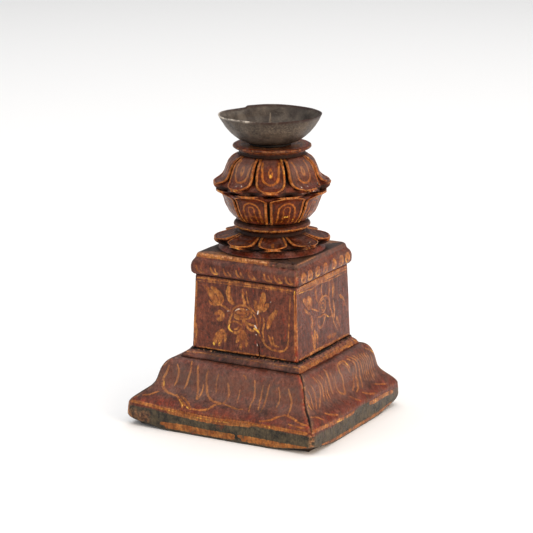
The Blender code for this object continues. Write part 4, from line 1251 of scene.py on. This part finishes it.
class Shader:
    """Builds one material's nodes in short calls. Values may be numbers, colours or other nodes' sockets."""

    def __init__(self, name):
        self.material = bpy.data.materials.new(name)
        self.material.use_nodes = True
        self.tree = self.material.node_tree
        self.surface = self.tree.nodes["Principled BSDF"]
        self.place = self.node("ShaderNodeTexCoord").outputs["Object"]

    def put(self, socket, value):
        if isinstance(value, bpy.types.NodeSocket):
            self.tree.links.new(value, socket)
        else:
            socket.default_value = value

    def node(self, kind, settings=(), **inputs):
        made = self.tree.nodes.new(kind)
        for key, value in dict(settings).items():
            setattr(made, key, value)
        for key, value in inputs.items():
            self.put(made.inputs[key.replace("_", " ")], value)
        return made

    def maths(self, operation, *values, clamp=False):
        made = self.node("ShaderNodeMath", {"operation": operation, "use_clamp": clamp})
        for socket, value in zip(made.inputs, values):
            self.put(socket, value)
        return made.outputs[0]

    def times(self, first, *others, clamp=False):
        for value in others:
            first = self.maths("MULTIPLY", first, value, clamp=clamp)
        return first

    def plus(self, first, second, clamp=False):
        return self.maths("ADD", first, second, clamp=clamp)

    def minus(self, first, second):
        return self.maths("SUBTRACT", first, second)

    def larger(self, first, second):
        return self.maths("MAXIMUM", first, second)

    def step(self, value, low, high):
        """0 below low, 1 above high and smooth between."""
        made = self.node("ShaderNodeMapRange", {"interpolation_type": "SMOOTHSTEP"}, Value=value)
        made.inputs["From Min"].default_value = low
        made.inputs["From Max"].default_value = high
        return made.outputs["Result"]

    def mix(self, share, first, second, blend="MIX"):
        made = self.node("ShaderNodeMix", {"data_type": "RGBA", "blend_type": blend})
        self.put(made.inputs[0], share)
        self.put(made.inputs[6], first)
        self.put(made.inputs[7], second)
        return made.outputs[2]

    def noise(self, size, detail=4.0, stretch=(1, 1, 1), rough=0.55, warp=0.0):
        """Noise whose patches are about size mm, longer along an axis whose stretch is under 1."""
        scaled = self.node("ShaderNodeMapping", Vector=self.place)
        scaled.inputs["Scale"].default_value = [value / MM for value in stretch]
        made = self.node("ShaderNodeTexNoise", Vector=scaled.outputs[0], Scale=1 / size, Detail=detail,
                         Roughness=rough, Distortion=warp)
        return made.outputs[0]

    def paint(self, name):
        return self.node("ShaderNodeAttribute", {"attribute_name": name}).outputs["Fac"]

    def upward(self):
        """How far the surface faces up, from -1 to 1."""
        normal = self.node("ShaderNodeNewGeometry").outputs["Normal"]
        return self.node("ShaderNodeSeparateXYZ", Vector=normal).outputs["Z"]

    def bump(self, height, distance, normal=None):
        made = self.node("ShaderNodeBump", Height=height, Strength=1.0, Distance=distance * MM)
        if normal is not None:
            self.put(made.inputs["Normal"], normal)
        return made.outputs[0]

    def bumps(self, *layers):
        """The surface's normal from layers of (height, depth in mm), each laid over the last."""
        normal = None
        for height, depth in layers:
            normal = self.bump(height, depth, normal)
        return normal

    def made_of(self, **inputs):
        """Sets the surface's inputs, with _ for a space in a name, and gives the material."""
        for key, value in inputs.items():
            self.put(self.surface.inputs[key.replace("_", " ")], value)
        return self.material


BRUSHED = (1, 1, 0.16)

GROUND_DARK = srgb(77, 34, 21)
GROUND_LIGHT = srgb(100, 47, 29)
RUBBED = srgb(144, 82, 56)
DARKENED = srgb(40, 17, 11)
ORANGE_FLECK = srgb(146, 46, 20)
BRICK_RED = srgb(118, 36, 12)
VERMILION = srgb(186, 62, 20)
AMBER_DARK = srgb(52, 20, 5)
AMBER_LIGHT = srgb(92, 39, 10)
# Painted sheen colour for faces that look up
PAINTED_SHEEN = srgb(122, 98, 90)
# A grey used mostly as painted sheen, and as the grey of weathered broken wood on the cap
WEATHERING_AND_SHEEN = srgb(112, 90, 80)
OLIVE_DARK = srgb(34, 30, 22)
OLIVE_LIGHT = srgb(84, 72, 52)
OCHRE_DARK = srgb(146, 82, 36)
OCHRE_LIGHT = srgb(196, 128, 62)
OCHRE_AMBER = srgb(168, 92, 26)
OCHRE_WEATHERED_AND_SHEENED = srgb(164, 112, 78)
OCHRE_THICK = srgb(134, 76, 36)
BRIGHT_GOLD = srgb(232, 176, 70)
# Rubbed-through paint, also used as painted highlight on some edges
WORN_AND_HIGHLIGHT_DARK = srgb(156, 80, 40)
WORN_AND_HIGHLIGHT_LIGHT = srgb(206, 156, 106)
FLAKED = srgb(214, 200, 186)
# Near-black for grime and for painted shade alike
GRIME_AND_SHADE = srgb(20, 13, 9)
IRON_DARK = srgb(46, 38, 32)
IRON_LIGHT = srgb(86, 74, 63)
IRON_BAND = srgb(128, 114, 97)
IRON_GRAIN = srgb(118, 106, 93)
IRON_INSIDE_SHADE = srgb(40, 28, 22)
IRON_INSIDE_LIT = srgb(126, 115, 102)
IRON_PIT = srgb(30, 24, 20)
# Near-white bare metal, used as the rim's painted highlight
BARE_IRON_AND_HIGHLIGHT = srgb(224, 212, 196)
RUST = srgb(48, 25, 16)
# Painted shadow colour for the bowl's underside
UNDERSIDE_SHADOW = srgb(10, 8, 7)
WOOD_DARK = srgb(104, 76, 50)
WOOD_LIGHT = srgb(158, 124, 86)
WOOD_AGED = srgb(82, 58, 38)
# Near-black, standing also for the shadow line under the bowl
LEATHER_AND_SHADOW_DARK = srgb(9, 7, 6)
LEATHER_AND_SHADOW_LIGHT = srgb(24, 18, 15)


def lacquer_material():
    """Old red lacquer over wood: brushed and grimy, with a painted sheen on upward faces and gold-coloured
    paint worn thin over it.
    """
    s = Shader("old_red_lacquer")
    streak = s.noise(2.6, 5, BRUSHED, 0.68)
    mottle = s.noise(6, 7, rough=0.68)
    speck = s.noise(1.3, 3, rough=0.6)
    # Painted sheen: faces that look up are mixed towards a pale grey, as light from above would show on them
    painted_sheen = s.times(s.step(s.upward(), 0.1, 0.8), s.step(s.noise(9, 5), 0.4, 0.62))
    painted_sheen = s.times(painted_sheen, s.minus(1.0, s.paint("red")), 0.3)
    colour = s.mix(painted_sheen, lacquer_ground(s, streak, mottle), PAINTED_SHEEN)
    # A grey coat: mostly painted sheen on the shoulder and petals, and weathered wood where the cap is broken
    film = s.times(s.paint("film"), s.plus(s.times(s.step(mottle, 0.36, 0.62), 0.4), 0.5))
    colour = s.mix(s.times(film, 0.65), colour, WEATHERING_AND_SHEEN)
    olive = s.mix(s.step(mottle, 0.3, 0.7), OLIVE_DARK, OLIVE_LIGHT)
    colour = s.mix(s.times(s.paint("olive"), s.step(s.noise(9, 6), 0.28, 0.40)), colour, olive)
    colour, gold = painted(s, colour, streak)
    colour = bared(s, colour, speck)
    clear = s.minus(1.0, s.times(s.paint("film"), 0.75))
    grain = s.step(s.noise(1.7, 4, (1, 1, 0.6), 0.65), 0.28, 0.72)
    colour = s.mix(s.times(clear, 0.42), colour, grain, "OVERLAY")
    # Grime and painted shade: real grime, and also painted shade in recesses, under overhangs and where parts
    # meet, all mixed towards near-black
    dirt = s.times(s.paint("dirt"), s.step(s.plus(s.noise(3.0, 6), s.paint("dirt")), 0.6, 1.05))
    dirt = s.larger(dirt, s.times(s.step(speck, 0.63, 0.72), 0.75, clear))
    rough = s.plus(s.times(mottle, 0.42), 0.1)
    rough = s.plus(rough, s.times(dirt, 0.35))
    rough = s.plus(rough, s.times(painted_sheen, 0.4), clamp=True)
    return s.made_of(Base_Color=s.mix(dirt, colour, GRIME_AND_SHADE), Roughness=rough, Metallic=s.times(gold, 0.2),
                     Specular_IOR_Level=s.minus(0.28, s.times(s.paint("amber"), 0.12)),
                     Normal=s.bumps((streak, 0.35), (mottle, 0.8), (gold, 0.16), (s.times(dirt, -1.0), 0.35),
                                    (speck, 0.15)))


def bared(s, colour, speck):
    """Rubs the lacquer through to worn orange and tan, which on some edges is a painted highlight, and flakes
    it off to pale wood.
    """
    worn = s.mix(s.step(speck, 0.35, 0.65), WORN_AND_HIGHLIGHT_DARK, WORN_AND_HIGHLIGHT_LIGHT)
    colour = s.mix(s.times(s.paint("worn"), s.step(s.noise(3, 5), 0.44, 0.58)), colour, worn)
    chip = s.plus(s.paint("chip"), s.times(s.minus(speck, 0.5), 1.2))
    return s.mix(s.step(chip, -0.05, 0.2), colour, FLAKED)


def lacquer_ground(s, streak, mottle):
    """The lacquer's own colours before paint and grime."""
    colour = s.mix(s.step(s.noise(22, 4, (1, 1, 0.4)), 0.35, 0.65), GROUND_DARK, GROUND_LIGHT)
    colour = s.mix(s.times(s.step(streak, 0.42, 0.74), 0.5), colour, RUBBED)
    colour = s.mix(s.times(s.step(mottle, 0.5, 0.66), 0.7), colour, DARKENED)
    fleck = s.step(s.noise(4, 4, (1, 1, 0.5)), 0.64, 0.7)
    colour = s.mix(s.times(fleck, 0.5), colour, ORANGE_FLECK)
    amber = s.times(s.paint("amber"), s.step(s.noise(8, 5), 0.28, 0.6))
    colour = s.mix(s.times(amber, 0.95), colour, s.mix(s.step(streak, 0.35, 0.7), AMBER_DARK, AMBER_LIGHT))
    redness = s.times(s.paint("red"), s.step(s.noise(7, 6, (1, 1, 0.5)), 0.34, 0.62))
    colour = s.mix(redness, colour, BRICK_RED)
    patchy = s.plus(s.times(s.step(s.noise(3.4, 5, (1, 1, 0.5)), 0.38, 0.56), 0.7), 0.3)
    return s.mix(s.times(s.paint("vermilion"), patchy, clamp=True), colour, VERMILION)


def painted(s, colour, streak):
    """Lays gold-coloured strokes over a colour, with wavering edges and worn gaps, browner where thick."""
    wander = s.times(s.minus(s.noise(2.2, 4), 0.5), 1.6)
    depth = s.plus(s.paint("gold"), wander)
    stroke = s.step(depth, -0.2, 0.35)
    gaps = s.step(s.noise(4.5, 6, (1, 1, 0.5), 0.68), 0.30, 0.48)
    bristle = s.plus(s.times(s.step(streak, 0.3, 0.6), 0.35), 0.6)
    share = s.times(stroke, gaps, bristle)
    ochre = s.mix(s.step(s.noise(7, 4), 0.4, 0.65), OCHRE_DARK, OCHRE_LIGHT)
    ochre = s.mix(s.times(s.paint("amber"), 0.6), ochre, OCHRE_AMBER)
    ochre = s.mix(s.times(s.paint("film"), 0.8), ochre, OCHRE_WEATHERED_AND_SHEENED)
    ochre = s.mix(s.times(s.step(depth, 0.4, 1.6), 0.3), ochre, OCHRE_THICK)
    colour = s.mix(s.times(share, 0.92), colour, ochre)
    glint = s.step(s.plus(s.paint("glint"), s.times(wander, 0.6)), -0.05, 0.25)
    return s.mix(s.times(glint, 0.9), colour, BRIGHT_GOLD), s.larger(share, glint)


def iron_material():
    """Forged iron: dark brown-grey scale, lighter in a rubbed band, with painted light and shade inside the
    bowl, bare metal brightened as a painted highlight along the rim, and a painted shadow under the bowl.
    """
    s = Shader("forged_iron")
    cloud = s.noise(11, 6, rough=0.62)
    grain = s.noise(1.1, 5, rough=0.7)
    pits = s.step(s.noise(0.9, 3), 0.58, 0.7)
    colour = s.mix(s.step(cloud, 0.35, 0.68), IRON_DARK, IRON_LIGHT)
    band = s.times(s.paint("band"), s.step(grain, 0.4, 0.66))
    colour = s.mix(s.times(band, 0.6), colour, IRON_BAND)
    colour = s.mix(s.times(s.step(grain, 0.5, 0.75), 0.5), colour, IRON_GRAIN)
    # Painted shade inside the bowl, then painted light on its left and right walls
    inside = s.times(s.paint("inside"), s.step(s.noise(17, 5), 0.44, 0.6))
    colour = s.mix(s.times(inside, 0.6), colour, IRON_INSIDE_SHADE)
    painted_inside_light = s.times(s.paint("inside"), s.step(s.noise(9, 6), 0.36, 0.6))
    painted_inside_light = s.times(painted_inside_light, s.paint("painted_inside_light"), clamp=True)
    colour = s.mix(s.times(painted_inside_light, 0.7), colour, IRON_INSIDE_LIT)
    colour = s.mix(s.times(s.paint("rust"), s.step(s.noise(6, 5), 0.25, 0.5)), colour, RUST)
    # Bare metal along the rim, brightened as a painted highlight
    bright = s.times(s.paint("edge"), s.step(s.noise(3, 4), 0.3, 0.55), clamp=True)
    colour = s.mix(bright, colour, BARE_IRON_AND_HIGHLIGHT)
    colour = s.mix(s.times(pits, 0.6), colour, IRON_PIT)
    return s.made_of(Base_Color=s.mix(s.paint("underside_shadow"), colour, UNDERSIDE_SHADOW),
                     Metallic=s.plus(s.times(bright, 0.4), 0.5, clamp=True),
                     Roughness=s.plus(s.times(grain, 0.35), 0.3),
                     Normal=s.bumps((cloud, 0.9), (grain, 0.3), (pits, -0.12)))


def wood_material():
    """Unpainted softwood with grain along its length, darkened by age."""
    s = Shader("bare_old_wood")
    grain = s.noise(1.4, 5, (1, 1, 0.08), 0.6, 0.4)
    aged = s.step(s.noise(14, 3, (1, 1, 0.2)), 0.45, 0.7)
    colour = s.mix(s.step(grain, 0.35, 0.68), WOOD_DARK, WOOD_LIGHT)
    return s.made_of(Base_Color=s.mix(s.times(aged, 0.5), colour, WOOD_AGED),
                     Roughness=s.plus(s.times(grain, 0.25), 0.6), Normal=s.bumps((grain, 0.25)))


def leather_material():
    """Blackened leather, creased and waxy, kept near-black so that it also shows as the shadow under the
    bowl.
    """
    s = Shader("black_leather")
    pebble = s.node("ShaderNodeTexVoronoi", {"feature": "DISTANCE_TO_EDGE"}, Vector=s.place, Scale=1400.0)
    return s.made_of(Base_Color=s.mix(s.step(s.noise(3, 4), 0.35, 0.65), LEATHER_AND_SHADOW_DARK, LEATHER_AND_SHADOW_LIGHT),
                     Roughness=s.plus(s.times(s.noise(2, 4), 0.3), 0.5),
                     Normal=s.bumps((pebble.outputs["Distance"], 0.3)))


FINISHES = {"red_lacquer": lacquer_material(), "iron": iron_material(), "leather": leather_material()}
BARE_WOOD = wood_material()


# The studio

CAMERA_AZIMUTH = math.radians(28.6)
CAMERA_ELEVATION = math.radians(14.15)
CAMERA_DISTANCE = 1.828
CAMERA_LENS = 158.0
CAMERA_AIM_HEIGHT = 0.1222
CAMERA_SHIFT = (-0.0105, -0.0046)
FLOOR_SIZE = 9.0
FLOOR_GAP = 0.0002
WORLD_STRENGTH = 0.4
WHITE = (1.0, 1.0, 1.0)
WARM = (1.0, 0.76, 0.55)
MIDDLE = (0, 0, 0.12)
# (name, place, what it is aimed at, size in m, watts, tint)
LIGHTS = [
    ("overhead", (0.0, 0.6, 2.3), (0, 0.6, 0), (4.0, 4.0), 75, WHITE),
    ("key_left", (-1.1, -1.1, 0.95), MIDDLE, (0.7, 0.9), 5, WHITE),
    ("fill_right", (1.5, -0.5, 0.6), MIDDLE, (0.9, 1.0), 19, WARM),
]


def plain_material(name, colour, rough):
    return Shader(name).made_of(Base_Color=colour, Roughness=rough)


def floor():
    bpy.ops.mesh.primitive_plane_add(size=FLOOR_SIZE, location=(0, 0, -FLOOR_GAP))
    plane = bpy.context.object
    plane.name = "studio_floor"
    plane.data.materials.append(plain_material("pale_floor", (0.9, 0.9, 0.9, 1), 0.9))


def area_light(name, place_m, aim, size, power, tint):
    light = bpy.data.lights.new(name, "AREA")
    light.shape = "RECTANGLE"
    light.size, light.size_y = size
    light.energy = power
    light.color = tint
    lamp = bpy.data.objects.new(name, light)
    lamp.location = place_m
    lamp.rotation_euler = (Vector(aim) - Vector(place_m)).to_track_quat("-Z", "Y").to_euler()
    bpy.context.scene.collection.objects.link(lamp)


def studio():
    floor()
    world = bpy.data.worlds.new("pale_studio")
    world.use_nodes = True
    backdrop = world.node_tree.nodes["Background"].inputs
    backdrop["Color"].default_value = (1, 1, 1, 1)
    backdrop["Strength"].default_value = WORLD_STRENGTH
    scene = bpy.context.scene
    scene.world = world
    scene.view_settings.view_transform = "Standard"
    for light in LIGHTS:
        area_light(*light)


def camera():
    """The photograph's view: from the front right, a little above, with a long lens."""
    target = Vector((STEM_X * MM, STEM_Y * MM, CAMERA_AIM_HEIGHT))
    away = Vector((math.sin(CAMERA_AZIMUTH) * math.cos(CAMERA_ELEVATION),
                   -math.cos(CAMERA_AZIMUTH) * math.cos(CAMERA_ELEVATION),
                   math.sin(CAMERA_ELEVATION)))
    data = bpy.data.cameras.new("camera")
    data.lens = CAMERA_LENS
    data.shift_x, data.shift_y = CAMERA_SHIFT
    eye = bpy.data.objects.new("camera", data)
    eye.location = target + away * CAMERA_DISTANCE
    eye.rotation_euler = (-away).to_track_quat("-Z", "Y").to_euler()
    bpy.context.scene.collection.objects.link(eye)
    bpy.context.scene.camera = eye


def carried_over_nodes():
    """The pieces inside keep their CAD shape and get the bare wood."""
    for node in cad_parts.values():
        if not node.hide_render:
            node.data.materials.clear()
            node.data.materials.append(BARE_WOOD)


for side in SIDES:
    base_moulding(side)
    dado_panel(side)
deck_board()
cap_board()
turned_ring("foot_disc", "rosette_foot", FOOT, paint_foot, seed=5)
petal_ring("rosette_petals", "lotus_rosette", ROSETTE, ROSETTE_SLOTS, paint_rosette, seed=6, rim=0.6,
           dish=0.8, chipped=(1,))
turned_ring("lower_ring", "lower_collar", LOWER_COLLAR, paint_lower_collar, seed=7)
petal_ring("lower_petals", "lower_lotus", LOWER_LOTUS, LOWER_SLOTS, paint_lower, seed=8)
petal_ring("upper_petals", "upper_lotus", UPPER_LOTUS, UPPER_SLOTS, paint_upper, seed=9, rim=0.65,
           chipped=(1, 2, 7))
turned_ring("upper_ring", "upper_collar", UPPER_COLLAR, paint_upper_collar, seed=10)
leather_washer()
drip_bowl()
iron_spike()
carried_over_nodes()
studio()
camera()
